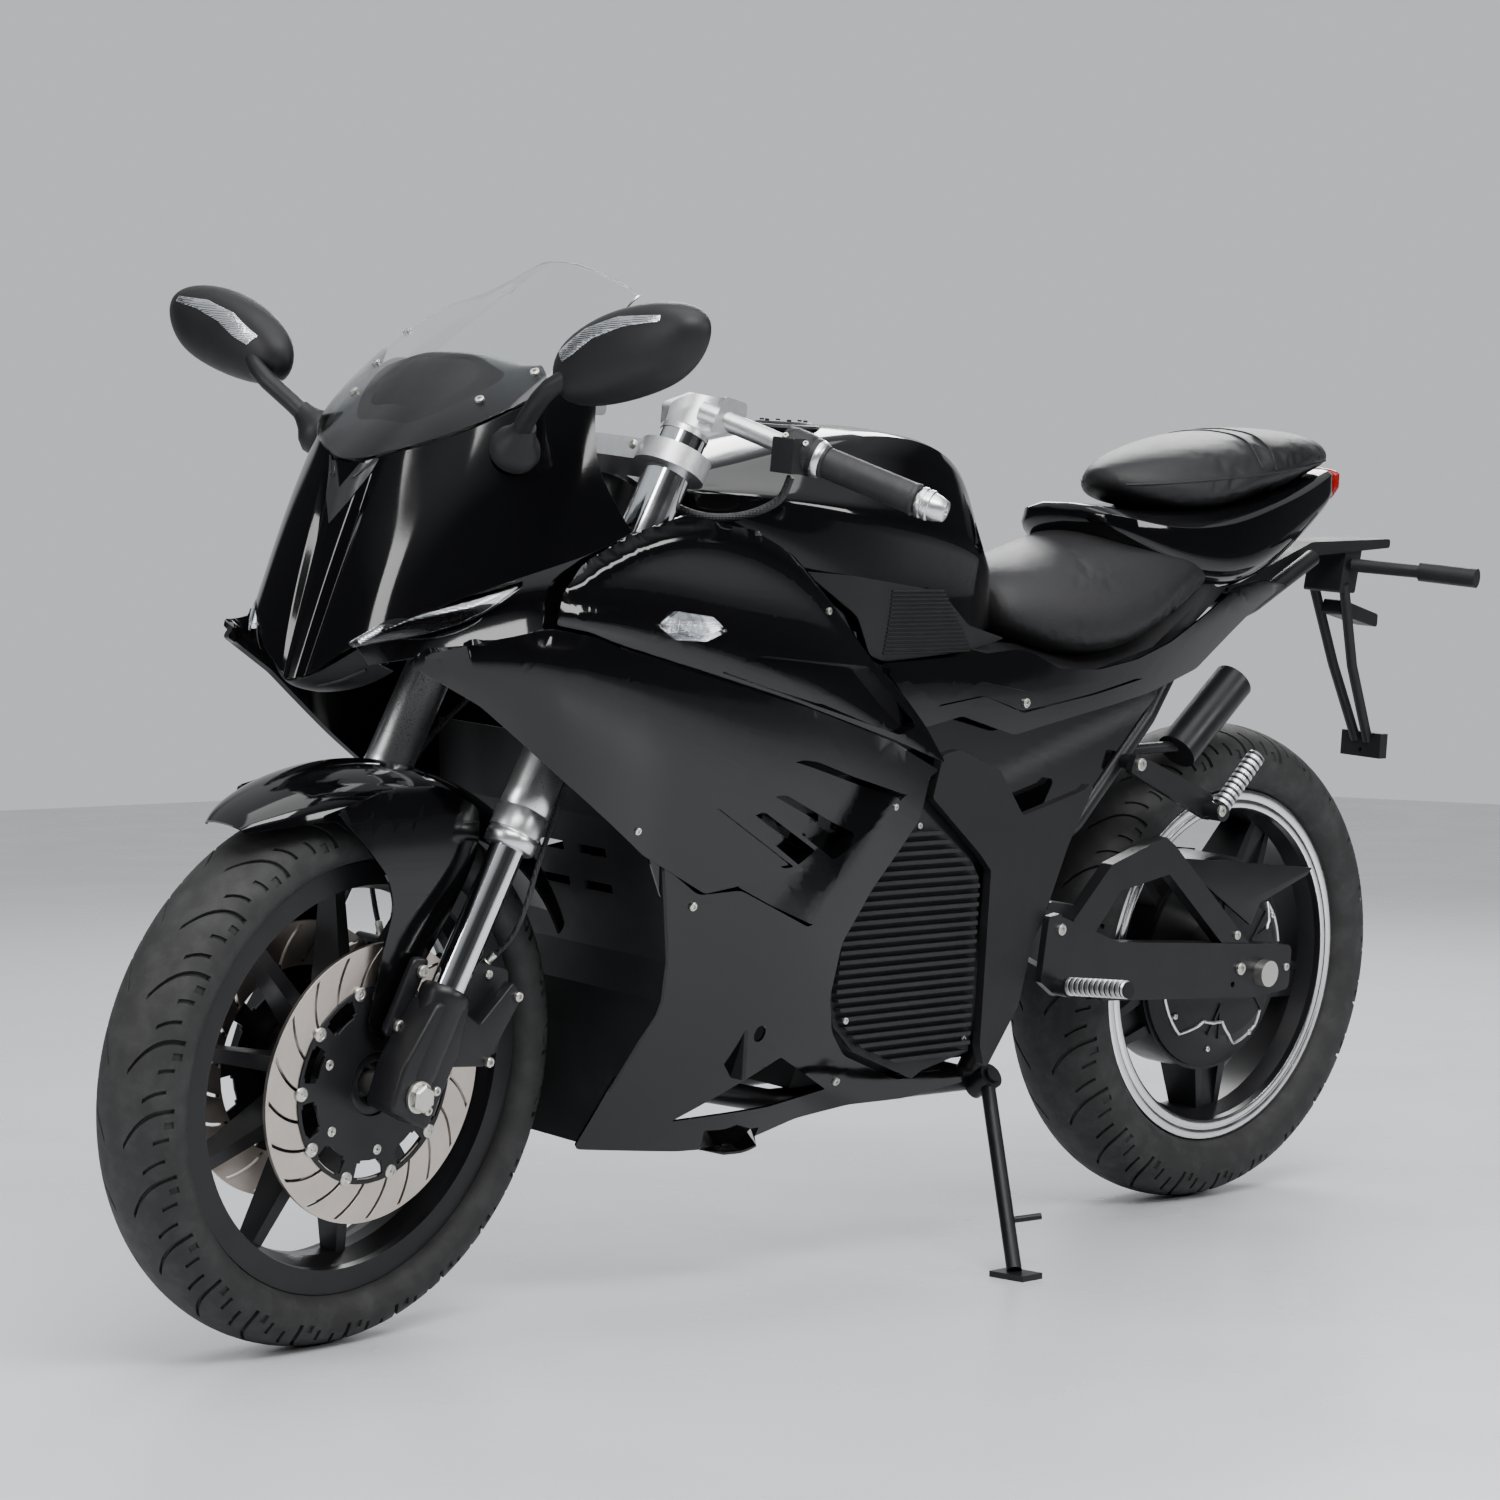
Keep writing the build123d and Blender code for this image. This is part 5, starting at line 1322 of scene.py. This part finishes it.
# Left headlight: rows across its lens, the line of its light strip and rows across its house
LAMP_SHELL = [
    [(776, 84, 751), (777, 87, 749), (774, 88, 746)],
    [(758, 103, 769), (763, 106, 762), (757, 110, 754)],
    [(737, 121, 786), (745, 126, 776), (732, 137, 762)],
    [(706, 142, 802), (713, 150, 789), (702, 160, 774)],
    [(672, 161, 813), (676, 170, 803), (674, 178, 791)],
    [(640, 181, 822), (642, 184, 819), (644, 186, 815)],
]
LAMP_STRIP = [(768, 90, 752), (752, 104, 766), (732, 121, 778), (706, 141, 786), (680, 159, 794),
              (656, 174, 808)]
LAMP_HOUSE = [
    [(771, 80, 752), (765, 88, 742), (756, 92, 728)],
    [(732, 118, 780), (722, 122, 762), (722, 134, 740)],
    [(700, 140, 798), (690, 144, 778), (692, 160, 752)],
    [(655, 172, 820), (646, 172, 798), (650, 190, 763)],
    [(610, 188, 836), (600, 186, 806), (606, 200, 770)],
    [(563, 197, 850), (552, 190, 812), (560, 204, 762)],
    [(524, 200, 868), (516, 192, 820), (514, 204, 748)],
]
# Rows of the chin and the instrument hood, from the centre line outwards
CHIN = [
    [(787, 0, 705), (784, 12, 707), (777, 28, 712), (769, 54, 728), (757, 84, 748)],
    [(776, 0, 698), (772, 14, 699), (764, 34, 702), (752, 60, 712), (742, 86, 730)],
    [(752, 0, 694), (748, 16, 695), (738, 38, 699), (726, 62, 708), (718, 84, 722)],
]
CHEVRON = [(0, 866), (20, 892), (36, 922), (43, 938), (24, 934), (0, 902)]
HOOD = [
    [(714, 0, 927), (703, 60, 940), (670, 103, 962), (628, 135, 990), (588, 151, 1015)],
    [(688, 0, 966), (678, 52, 973), (648, 91, 990), (610, 121, 1011), (578, 139, 1029)],
    [(650, 0, 1011), (644, 42, 1013), (624, 75, 1021), (597, 101, 1033), (570, 119, 1041)],
    [(612, 0, 1043), (608, 36, 1043), (596, 65, 1042), (578, 89, 1040), (559, 103, 1038)],
    [(584, 0, 1051), (581, 34, 1050), (574, 59, 1046), (561, 79, 1040), (547, 93, 1034)],
    [(566, 0, 1040), (563, 33, 1038), (557, 57, 1032), (546, 77, 1024), (534, 91, 1016)],
    [(560, 0, 1000), (558, 32, 998), (551, 55, 992), (541, 75, 984), (530, 89, 976)],
]
REFLECTOR_SHIFT = Vector((-9, -3, 0))
# Chin slats: the lowest one, and the step to the next
SLAT = [(768, 26, 701), (757, 50, 709), (746, 76, 722)]
SLAT_STEP = Vector((-9, 0, 2.4))
SLATS = 4
# Screws of the screen, and the way out from it that they are looked for along
SCREEN_SCREWS = [(640, 112, 1002), (588, 134, 1030), (530, 150, 1064)]
SCREEN_OUT = Vector((0.45, 0.75, 0.45)).normalized()
CRYSTAL = [(474, 779), (449, 793), (399, 787), (377, 772), (407, 761), (451, 763)]
CRYSTAL_MIDDLE = (426, 777)
# Rings of the lens: y, share of the outline along and up
CRYSTAL_RINGS = [(206, 1.0, 1.0), (218, 1.0, 1.0), (227, 0.62, 0.5)]
LAMP_BAR = [(452, 772), (450, 783), (410, 779), (406, 770)]
# Reflector behind the lens: its share of the outline, and the y of its faces and of the lamp bar's
BACK_SHARE = (0.93, 0.9)
BACK_Y = (204, 208)
LAMP_BAR_Y = (208, 219)


def mirrors():
    """Lofted housing on a stalk, light strip on its front and glass behind."""
    bm = bmesh.new()
    loops = [ring(bm, [(x, y, z) for y, z in drawn_in(MIRROR_OUTLINE, MIRROR_MIDDLE, size, size)])
             for x, size in MIRROR_SECTIONS]
    bridged(bm, loops)
    capped(bm, loops[-1], loops[0])
    bmesh.ops.recalc_face_normals(bm, faces=bm.faces[:])
    housing = subdivided(bm, 2)
    strip = laid_patch([(660, y, z) for y, z in STRIP], BVHTree.FromBMesh(housing), 0.8)
    foot = turned(MIRROR_FOOT, MIRROR_FOOT_PLACE, MIRROR_FOOT_WAY, 28)
    parts = [both_sides(part) for part in (housing, bead(STALK, STALK_R, 16), foot)]
    piece("mirror_housings", parts, MATT, "mirrors")
    piece("mirror_light_strips", both_sides(strip), REFLECTOR, slot="clear_lens", wall=0.8)
    glass = bmesh.new()
    edge = drawn_in(rounded(MIRROR_OUTLINE, 12.0), MIRROR_MIDDLE, *GLASS_SHARE)
    capped(glass, ring(glass, [(GLASS_X, y, z) for y, z in edge]))
    piece("mirror_faces", both_sides(outward(glass, (-1, 0, 0))), MIRROR, "mirror_glasses", wall=1.5,
          bevel=0.5)


def headlights():
    """Clear lens over a dark house, with a bright strip inside."""
    out = (1, 1, 0)
    lens_skin = patch(LAMP_SHELL, out)
    inner = patch([[Vector(p) + REFLECTOR_SHIFT for p in row] for row in LAMP_SHELL], out)
    house = patch(LAMP_HOUSE, (0.3, 1, 0))
    piece("headlight_lenses", both_sides(lens_skin), CLEAR, "headlights", wall=1.6, bevel=0.4)
    piece("headlight_strips", both_sides(bead(LAMP_STRIP, 4.4, 10, 0.7)), REFLECTOR)
    piece("headlight_houses", [both_sides(house), both_sides(inner)], PAINT, wall=2.0, bevel=0.6)


def nose_fittings():
    """Chin with its slats, instrument hood, chevron trim and the screws of the screen."""
    slats = [bead([Vector(p) + SLAT_STEP * k for p in SLAT], 2.0) for k in range(SLATS)]
    piece("chin_grille", [shell(CHIN), both_sides(joined(*slats))], MATT, "nose_grille", wall=2.0, bevel=0.5)
    piece("dash_hood", shell(HOOD), MATT, "instrument_hood", wall=2.0, bevel=0.5)
    cowl = BVHTree.FromBMesh(shell(COWL, COWL_CREASES))
    outline = [(800, y, z) for y, z in CHEVRON] + [(800, -y, z) for y, z in reversed(CHEVRON[1:-1])]
    piece("chevron_trim", laid_patch(outline, cowl, 1.4, 5.0), SATIN, wall=1.2, bevel=0.4)
    glass = BVHTree.FromBMesh(shell(SCREEN_ROWS))
    screws = []
    for x, y, z in SCREEN_SCREWS:
        for side in SIDES:
            way = SCREEN_OUT * Vector((1, side, 1))
            hit, normal = glass.ray_cast(Vector((x, side * y, z)) + way * 120, -way)[:2]
            out = normal if normal.dot(way) > 0 else -normal
            screws.append(cap_screw(hit + SCREEN_SHIFT + out * 0.2, out, 5.0, 3.0))
    piece("screen_screws", screws, ZINC, sharp=30)


def indicators():
    """Faceted clear lens, its reflector and the lamp bar seen through it."""
    bm = bmesh.new()
    loops = [ring(bm, [(x, y, z) for x, z in drawn_in(CRYSTAL, CRYSTAL_MIDDLE, share, other)])
             for y, share, other in CRYSTAL_RINGS]
    bridged(bm, loops)
    capped(bm, loops[-1])
    piece("indicator_crystals", both_sides(outward(bm, LEFT)), CLEAR, "front_indicators", bevel=0.6, sharp=12)
    back = prism(drawn_in(CRYSTAL, CRYSTAL_MIDDLE, *BACK_SHARE), *BACK_Y)
    bar = prism(LAMP_BAR, *LAMP_BAR_Y)
    piece("indicator_reflectors", both_sides(joined(back, bar)), REFLECTOR, bevel=0.8)


BAR_IN = Vector((334, 100, 1006))
BAR_OUT = Vector((236, 356, 930))
# Places along a bar, as shares of the way from its inner to its outer end
POD_AT = 0.365
RING_AT = 0.492
GRIP_AT = 0.52
BAR_END_AT = 0.935
POD_SCREWS_AT = (0.385, 0.47)
BUTTONS_AT = (0.40, 0.44)
POD_SCREW_OUT = 22.5
BUTTON_FOOT = Vector((-20, 0, 12))
GRIP_PITCH = 2.6
GRIP_RIDGES = 40
GRIP_END = 6 + GRIP_PITCH * GRIP_RIDGES
GRIP = [(0, 14.0), (0, 17.5), (3, 18.6), (6, 17.2)] + [
    (6 + GRIP_PITCH * (k + 0.5 * h), 16.4 + 0.9 * h) for k in range(GRIP_RIDGES) for h in (0, 1)] + [
    (GRIP_END, 17.4), (GRIP_END + 3, 18.4), (GRIP_END + 5, 16.0), (GRIP_END + 5, 12.0)]
BAR_END = [(0, 12), (0, 16.4), (2, 17.2), (5, 17.2), (6, 15.4), (8, 15.4), (9, 17.0), (13, 17.0), (14, 15.0),
           (20, 14.4), (30, 11.6), (31, 10.4), (31, 4.6), (28, 4.2), (28, 0)]
BAR_RING = [(0, 12), (0, 20), (3, 21.5), (9, 19.5), (11, 16.5), (11, 12)]
POD = [(0, 12), (0, 20), (2, 22.5), (9, 23.5), (24, 23.5), (33, 22), (36, 18), (36, 12)]
BUTTON = [(0, 5), (4, 5), (5, 4.2), (5, 0)]
FORK_CAP = [(0, 27), (6, 27), (8, 25), (8, 15), (5, 13), (5, 0)]
STEM_NUT = [(0, 17), (9, 17), (11, 14), (11, 0)]
# Up the fork line to the feet of the leg caps and of the stem nut
FORK_CAP_LOW = 765
STEM_NUT_LOW = 750
# Clamp screws: up the fork line, out from the middle plane
CLAMP_SCREWS = [(734, FORK_HALF - 30), (495, FORK_HALF - 28)]


def bars():
    """Ridged grips, bar ends and rings, switch pods with buttons and screws, caps of the clamps."""
    grips, ends, rings, pods, screws, clamp_screws = [], [], [], [], [], []
    for side in SIDES:
        def at(share):
            return (BAR_IN + (BAR_OUT - BAR_IN) * share) * Vector((1, side, 1))

        way = (at(1) - at(0)).normalized()
        out = Vector((0.75, side * 0.3, 0.55)).normalized()
        grips.append(turned(GRIP, at(GRIP_AT), way, 48))
        ends.append(turned(BAR_END, at(BAR_END_AT), way))
        rings.append(turned(BAR_RING, at(RING_AT), way))
        pods.append(turned(POD, at(POD_AT), way, 28))
        screws += [cap_screw(at(share) + out * POD_SCREW_OUT, out, 3.4) for share in POD_SCREWS_AT]
        pods += [turned(BUTTON, at(share) + BUTTON_FOOT, (-0.8, 0, 0.6), 16) for share in BUTTONS_AT]
        clamp_screws += [cap_screw(on_fork(s, side * y, 34), (0.9, -side * 0.2, 0.4), 5)
                         for s, y in CLAMP_SCREWS]
    piece("grip_rubbers", grips, RUBBER, "grips", body="steering", sharp=70)
    piece("bar_ends", ends + rings, ALLOY, body="steering", sharp=50)
    piece("switch_pods", pods, MATT, body="steering", sharp=50)
    caps = [fork_turned(FORK_CAP, FORK_CAP_LOW, side * FORK_HALF, 32) for side in SIDES]
    caps.append(turned(STEM_NUT, on_fork(STEM_NUT_LOW, 0, -FORK_OFFSET), STEER_DIR, 6))
    piece("clamp_trim", caps, ALLOY, body="steering", sharp=40)
    piece("clamp_screws", clamp_screws + screws, ZINC, body="steering", sharp=30)


# Side covers, inner parts and screws

KNEE = [(208, 832), (125, 827), (-32, 809), (-91, 769), (-172, 752), (-98, 739), (59, 729), (86, 737),
        (114, 782)]
KNEE_SIDE = [
    (215, [(150, 715), (160, 780), (156, 845)]), (125, [(146, 715), (153, 780), (149, 845)]),
    (40, [(141, 715), (149, 780), (144, 845)]), (-35, [(136, 715), (143, 780), (138, 845)]),
    (-95, [(127, 715), (133, 765), (128, 845)]), (-180, [(112, 715), (117, 755), (112, 845)]),
]
knee_y = skin(KNEE_SIDE)
# Ribs from a lowest height up; the ends follow the panel's sloped front and rear edges
KNEE_RIBS = 16
KNEE_RIB_LOW = 739
KNEE_RIB_PITCH = 4.7
KNEE_RIB_FRONT = 64
KNEE_RIB_REAR = -98
# Height from which the rear edge slopes, and how far each edge goes along the machine per height
KNEE_REAR_BEND = 745
KNEE_FRONT_SLOPE = -0.1
KNEE_REAR_SLOPE = 0.95
TUB = [
    (400, [(70, 600), (80, 720), (40, 780), (0, 790)]),
    (300, [(100, 580), (116, 740), (60, 850), (0, 860)]),
    (180, [(110, 580), (116, 770), (60, 860), (0, 870)]),
    (60, [(112, 600), (118, 740), (60, 790), (0, 800)]),
    (-100, [(100, 640), (112, 742), (60, 752), (0, 756)]),
    (-220, [(92, 650), (108, 722), (60, 740), (0, 744)]),
    (-340, [(88, 664), (104, 708), (60, 740), (0, 744)]),
    (-460, [(84, 700), (104, 738), (60, 800), (0, 804)]),
    (-560, [(76, 756), (98, 800), (70, 850), (0, 854)]),
    (-606, [(70, 784), (90, 830), (70, 896), (0, 900)]),
    (-700, [(46, 830), (66, 876), (50, 920), (0, 924)]),
]
# Walls across the machine behind and ahead of the battery: x, low and high z, half width, corner, bevel
TUB_WALLS = [(-244, -104, 238, 560, 66, 6, 2), (234, 240, 262, 640, 138, 2, 1)]
# Panel below the seat side, set back from it
INNER_SIDE = [(-47, 660), (-119, 676), (-213, 652), (-446, 700), (-469, 680), (-332, 540), (-233, 532),
              (-120, 598), (-67, 611)]
# Thin fin on each swingarm truss
ARM_FIN = [(-536, 470), (-822, 443), (-812, 434), (-716, 402), (-700, 374), (-662, 396)]


def inner_side_y(x, z):
    """Set back, and stepped in below the line (-226, 604) to (-446, 672)."""
    out, step, run = 111.0, 3.5, 14.0
    below = ((x + 226) * 68 + (z - 604) * 220) / -math.hypot(68, 220)
    return out - step * max(0.0, min(1.0, below / run))


def covers():
    """Ribbed knee panels and the dark tub between the two sides."""
    ribs = []
    for k in range(KNEE_RIBS):
        z = KNEE_RIB_LOW + KNEE_RIB_PITCH * k
        front = KNEE_RIB_FRONT + KNEE_FRONT_SLOPE * (z - KNEE_RIB_LOW)
        rear = KNEE_RIB_REAR + KNEE_REAR_SLOPE * max(z - KNEE_REAR_BEND, 0.0)
        places = [front + (rear - front) * t / 6 for t in range(7)]
        ribs.append(bead([(x, knee_y(x, z) + 0.3, z) for x in places], 1.5, 6))
    knee = side_panel(KNEE, knee_y, pitch=14.0, corner=8.0)
    piece("knee_skins", knee, MATT, "knee_panels", wall=3.0, bevel=1.2)
    piece("knee_ribs", both_sides(joined(*ribs)), MATT)
    walls = [prism([(x0, z0), (x1, z0), (x1, z1), (x0, z1)], -half, half, corner, bevel)
             for x0, x1, z0, z1, half, corner, bevel in TUB_WALLS]
    piece("under_seat_tub", [half_loft(TUB, levels=0), *walls], MATT)
    sides = side_panel(INNER_SIDE, inner_side_y, pitch=9.0)
    piece("inner_side_panels", sides, PAINT, wall=PANEL_T, bevel=0.8)
    piece("swingarm_fins", both_sides(prism(ARM_FIN, 96, 101, 3, 1)), COAT)


# Button screws by body: node or piece that they sit on, x, z, radius
SCREWS = {
    "chassis": [
        ("frame_covers", -262, 410, 8), ("frame_covers", -250, 366, 7), ("rider_pegs", -262, 404, 7),
        ("swingarm", -664, 322, 8), ("swingarm", -655, 366, 6), ("swingarm", -760, 318, 5),
        ("passenger_pegs", -418, 596, 8), ("passenger_pegs", -552, 536, 7), ("battery_covers", -128, 278, 4),
        ("battery_covers", 84, 318, 4), ("battery_covers", -30, 536, 4), ("seat_side_skins", -201, 676, 6),
        ("lower_fairing_skins", 360, 470, 5), ("lower_fairing_skins", 60, 240, 5),
        ("upper_panel_skins", 190, 790, 4), ("side_fairing_skins", 470, 560, 4),
        ("vent_surrounds", 52, 566, 4),
    ],
    "steering": [("front_calipers", 596, 330, 5), ("front_calipers", 580, 402, 5)],
}
SCREW_PIECES = {"chassis": "panel_screws", "steering": "caliper_screws"}
INNERMOST = 40


def button_screws():
    """Button screws on both sides, each dropped onto its surface from the outside."""
    for body, table in SCREWS.items():
        made = []
        trees = {}
        for name, x, z, radius in table:
            if name not in trees:
                under = frame["nodes"][name] if name in frame["nodes"] else bpy.data.objects[name]
                trees[name] = surface_of(under, FRONT if body in STEERED else MACHINE)
            for side in SIDES:
                hit, normal = trees[name].ray_cast(Vector((x, side * 400, z)), Vector((0, -side, 0)))[:2]
                if hit is not None and abs(hit.y) >= INNERMOST:
                    out = normal if normal.y * side > 0 else -normal
                    made.append(cap_screw(hit - out * 0.3, out, radius, radius * 0.62))
        piece(SCREW_PIECES[body], made, ZINC, body=body, sharp=30)


# Raised light strips on the hub's cover: angle from straight ahead, radius, in runs
HUB_LINES = [
    [(345, 118), (313, 117), (305, 84), (278, 72), (255, 110), (229, 114), (223, 92)],
    [(147, 82), (138, 114), (152, 118), (168, 116)],
]
HUB_OUT = 90
HUB_SCREWS = 8
HUB_SCREW_RING = 112
HUB_SCREW_FIRST = 12
# Ribbed sleeves of the pegs: inner end, outer end, radius, ribs
PEG_SLEEVES = [
    (Vector((-262, 178, 338)), Vector((-262, 264, 348)), 11.2, 11),
    (Vector((-564, 147, 541)), Vector((-620, 152, 602)), 12.0, 10),
]


def sleeve(start, end, radius, count):
    """Ribbed sleeve between two places, on both sides."""
    length = (end - start).length
    step = length / count
    profile = [(0, radius - 2)]
    for k in range(count):
        t = length * k / count
        profile += [(t, radius), (t + 0.5 * step, radius), (t + 0.6 * step, radius - 1.8),
                    (t + 0.9 * step, radius - 1.8)]
    profile += [(length, radius), (length + 3, radius - 2), (length + 3, 0)]
    return both_sides(turned(profile, start, end - start, 24))


def rear_details():
    """Light strips and screws on the hub motor, sleeves of the pegs, nuts of the rear axle."""
    tree = surface_of(frame["nodes"]["hub_motor"])
    lines = []
    for run in HUB_LINES:
        places = [(a0 + (a1 - a0) * t / 6, r0 + (r1 - r0) * t / 6)
                  for (a0, r0), (a1, r1) in zip(run, run[1:]) for t in range(6)]
        points = [polar(REAR_AXLE, angle, r, HUB_OUT) for angle, r in places + run[-1:]]
        lines.append(bead(laid_line(tree, points, (0, -1, 0), 0.6), 2.6))
    spots = [polar(REAR_AXLE, 360 // HUB_SCREWS * k + HUB_SCREW_FIRST, HUB_SCREW_RING, HUB_OUT)
             for k in range(HUB_SCREWS)]
    lines += [cap_screw(spot, LEFT, 4.0) for spot in laid_line(tree, spots, (0, -1, 0))]
    piece("hub_light_strips", lines, ALLOY, body="rear_wheel", sharp=50)
    piece("peg_treads", [sleeve(*row) for row in PEG_SLEEVES], FORGED, sharp=40)
    ends = [part for side in SIDES for part in nuts(REAR_AXLE, side, REAR_NUT)]
    piece("rear_axle_nuts", ends, ZINC, sharp=40)


# Brake hose: up the fork line, out from the middle plane, ahead of the fork line
HOSE_RUN = [(166, 80, -66), (196, 104, -62), (230, 118, -50), (275, 120, -40), (330, 116, -38),
            (385, 106, -40), (430, 84, -42), (462, 56, -38), (476, 36, -30)]
HOSE_R = 3.0
HOSE_END = [(-3, 0), (-3, 5), (4, 5.5), (5, 4.4), (15, 4.2), (16, 3.4), (16, 0)]
# Loom from the left switch to the upper clamp
LOOM_RUN = [(300, 206, 946), (302, 194, 920), (318, 170, 902), (340, 141, 894), (360, 112, 898),
            (372, 86, 912), (376, 68, 926)]
LOOM_R = 4.5


def smooth_run(points, steps=6):
    """Points along a smooth curve through given places."""
    points = [Vector(p) for p in points]
    padded = [points[0]] + points + [points[-1]]
    run = []
    for a, b, c, d in zip(padded, padded[1:], padded[2:], padded[3:]):
        for k in range(steps):
            t = k / steps
            run.append(0.5 * (2 * b + (c - a) * t + (2 * a - 5 * b + 4 * c - d) * t * t
                              + (3 * b - a - 3 * c + d) * t * t * t))
    run.append(points[-1])
    return run


def hoses():
    """Brake hoses with their end fittings and the braided loom of the left switch."""
    parts, fittings = [], []
    for side in SIDES:
        run = [on_fork(s, side * y, ahead) for s, y, ahead in HOSE_RUN]
        parts.append(bead(smooth_run(run), HOSE_R, 10))
        fittings += [turned(HOSE_END, start, after - start, 12)
                     for start, after in ((run[0], run[1]), (run[-1], run[-2]))]
    parts.append(bead(smooth_run(LOOM_RUN), LOOM_R, 14))
    piece("hoses_and_loom", parts, BRAID, body="steering")
    piece("hose_fittings", fittings, ZINC, body="steering", sharp=40)


# Carried-over nodes by material
CAD_FINISH = {
    COAT: "frame seat_frame swingarm rear_shock rider_pegs passenger_pegs brake_pedal side_stand front_rim"
          " rear_rim fork_legs",
    CAST: "battery_case battery_covers rear_caliper hub_motor front_calipers",
    MATT: "frame_covers inner_panel nose_grille instrument_hood mirrors knee_panels tail_tidy"
          " rear_indicators bar_controls",
    CLEAR: "headlights front_indicators",
    ZINC: "rear_axle front_axle",
    TYRE: "front_tyre rear_tyre",
    DISC: "front_discs rear_disc",
    CHROME: "fork_upper_tubes",
    FORGED: "fork_clamps handlebars",
    RUBBER: "grips",
    PAINT: "front_fender",
}


def finish_nodes():
    """Gives the nodes that are shown as they are their materials."""
    for material, names in CAD_FINISH.items():
        for name in names.split():
            for place in frame["nodes"][name].material_slots:
                place.material = material


# Stage

FLOOR_HALF = 9.0
# Lamps: name, place, aim, size, power
LAMPS = [
    ("key_light", (1.6, 2.4, 3.4), (0.0, 0.0, 0.5), (3.0, 1.2), 170.0),
    ("front_light", (4.4, -0.6, 2.0), (0.4, 0.0, 0.6), (1.1, 1.9), 75.0),
    ("side_light", (-1.8, 4.2, 2.2), (-0.4, 0.0, 0.5), (2.6, 0.7), 80.0),
    ("back_light", (-3.2, -2.4, 3.0), (0.0, 0.0, 0.6), (2.6, 1.2), 130.0),
    ("floor_light", (0.4, 0.6, 4.2), (0.0, 0.0, 0.0), (4.0, 3.0), 120.0),
]

# Way from the machine to the pale wall behind it; the rest of the room is dim up to the ceiling
BACKDROP_WAY = (-0.694, -0.72, 0.0)
WALL_EDGE = ((0.74, 0.0), (0.82, 1.0))
ROOM_BRIGHTNESS = [(0.0, 0.12), (0.2, 0.05), (0.42, 0.08), (0.62, 1.0)]
CEILING_COLOUR = (0.84, 0.86, 0.9)
WALL_COLOUR = (0.78, 0.8, 0.83)
ROOM_STRENGTH = 0.8


def floor():
    """Pale floor of the stage."""
    bm = bmesh.new()
    bmesh.ops.create_grid(bm, x_segments=1, y_segments=1, size=FLOOR_HALF)
    made = added("floor", as_mesh("floor", bm))
    pale = Finish("pale_floor", Base_Color=(0.62, 0.63, 0.65))
    pale.rough(pale.noise(3.0, 4.0), (0.3, 0.24), (0.8, 0.36))
    made.data.materials.append(pale.material)


def lights():
    """Five lamps, and a room that is dim round the machine but for a pale wall and the ceiling."""
    for name, place, aim, size, power in LAMPS:
        data = bpy.data.lights.new(name, "AREA")
        data.shape = "RECTANGLE"
        data.size, data.size_y = size
        data.energy = power
        aimed(name, data, place, Vector(aim) - Vector(place))
    world = bpy.data.worlds.new("studio")
    world.use_nodes = True
    room = Graph(world.node_tree)
    way = room.node("TexCoord")
    height = room.node("SeparateXYZ", None, {0: way}, out=2)
    ahead = room.node("VectorMath", {"operation": "DOT_PRODUCT"}, {0: way, 1: BACKDROP_WAY}, out=1)
    open_room = room.blend(room.ramps(height, ROOM_BRIGHTNESS), (0.0, 0.0, 0.0), CEILING_COLOUR)
    sockets = world.node_tree.nodes["Background"].inputs
    room.put(sockets["Color"], room.blend(room.ramp(ahead, *WALL_EDGE), open_room, WALL_COLOUR))
    room.put(sockets["Strength"], ROOM_STRENGTH)
    bpy.context.scene.world = world


camera()
floor()
lights()
finish_nodes()
side_fairings()
nose()
tank()
seats()
tail()
wheels()
front_discs()
fork()
fender()
mirrors()
headlights()
nose_fittings()
indicators()
bars()
covers()
button_screws()
rear_details()
hoses()
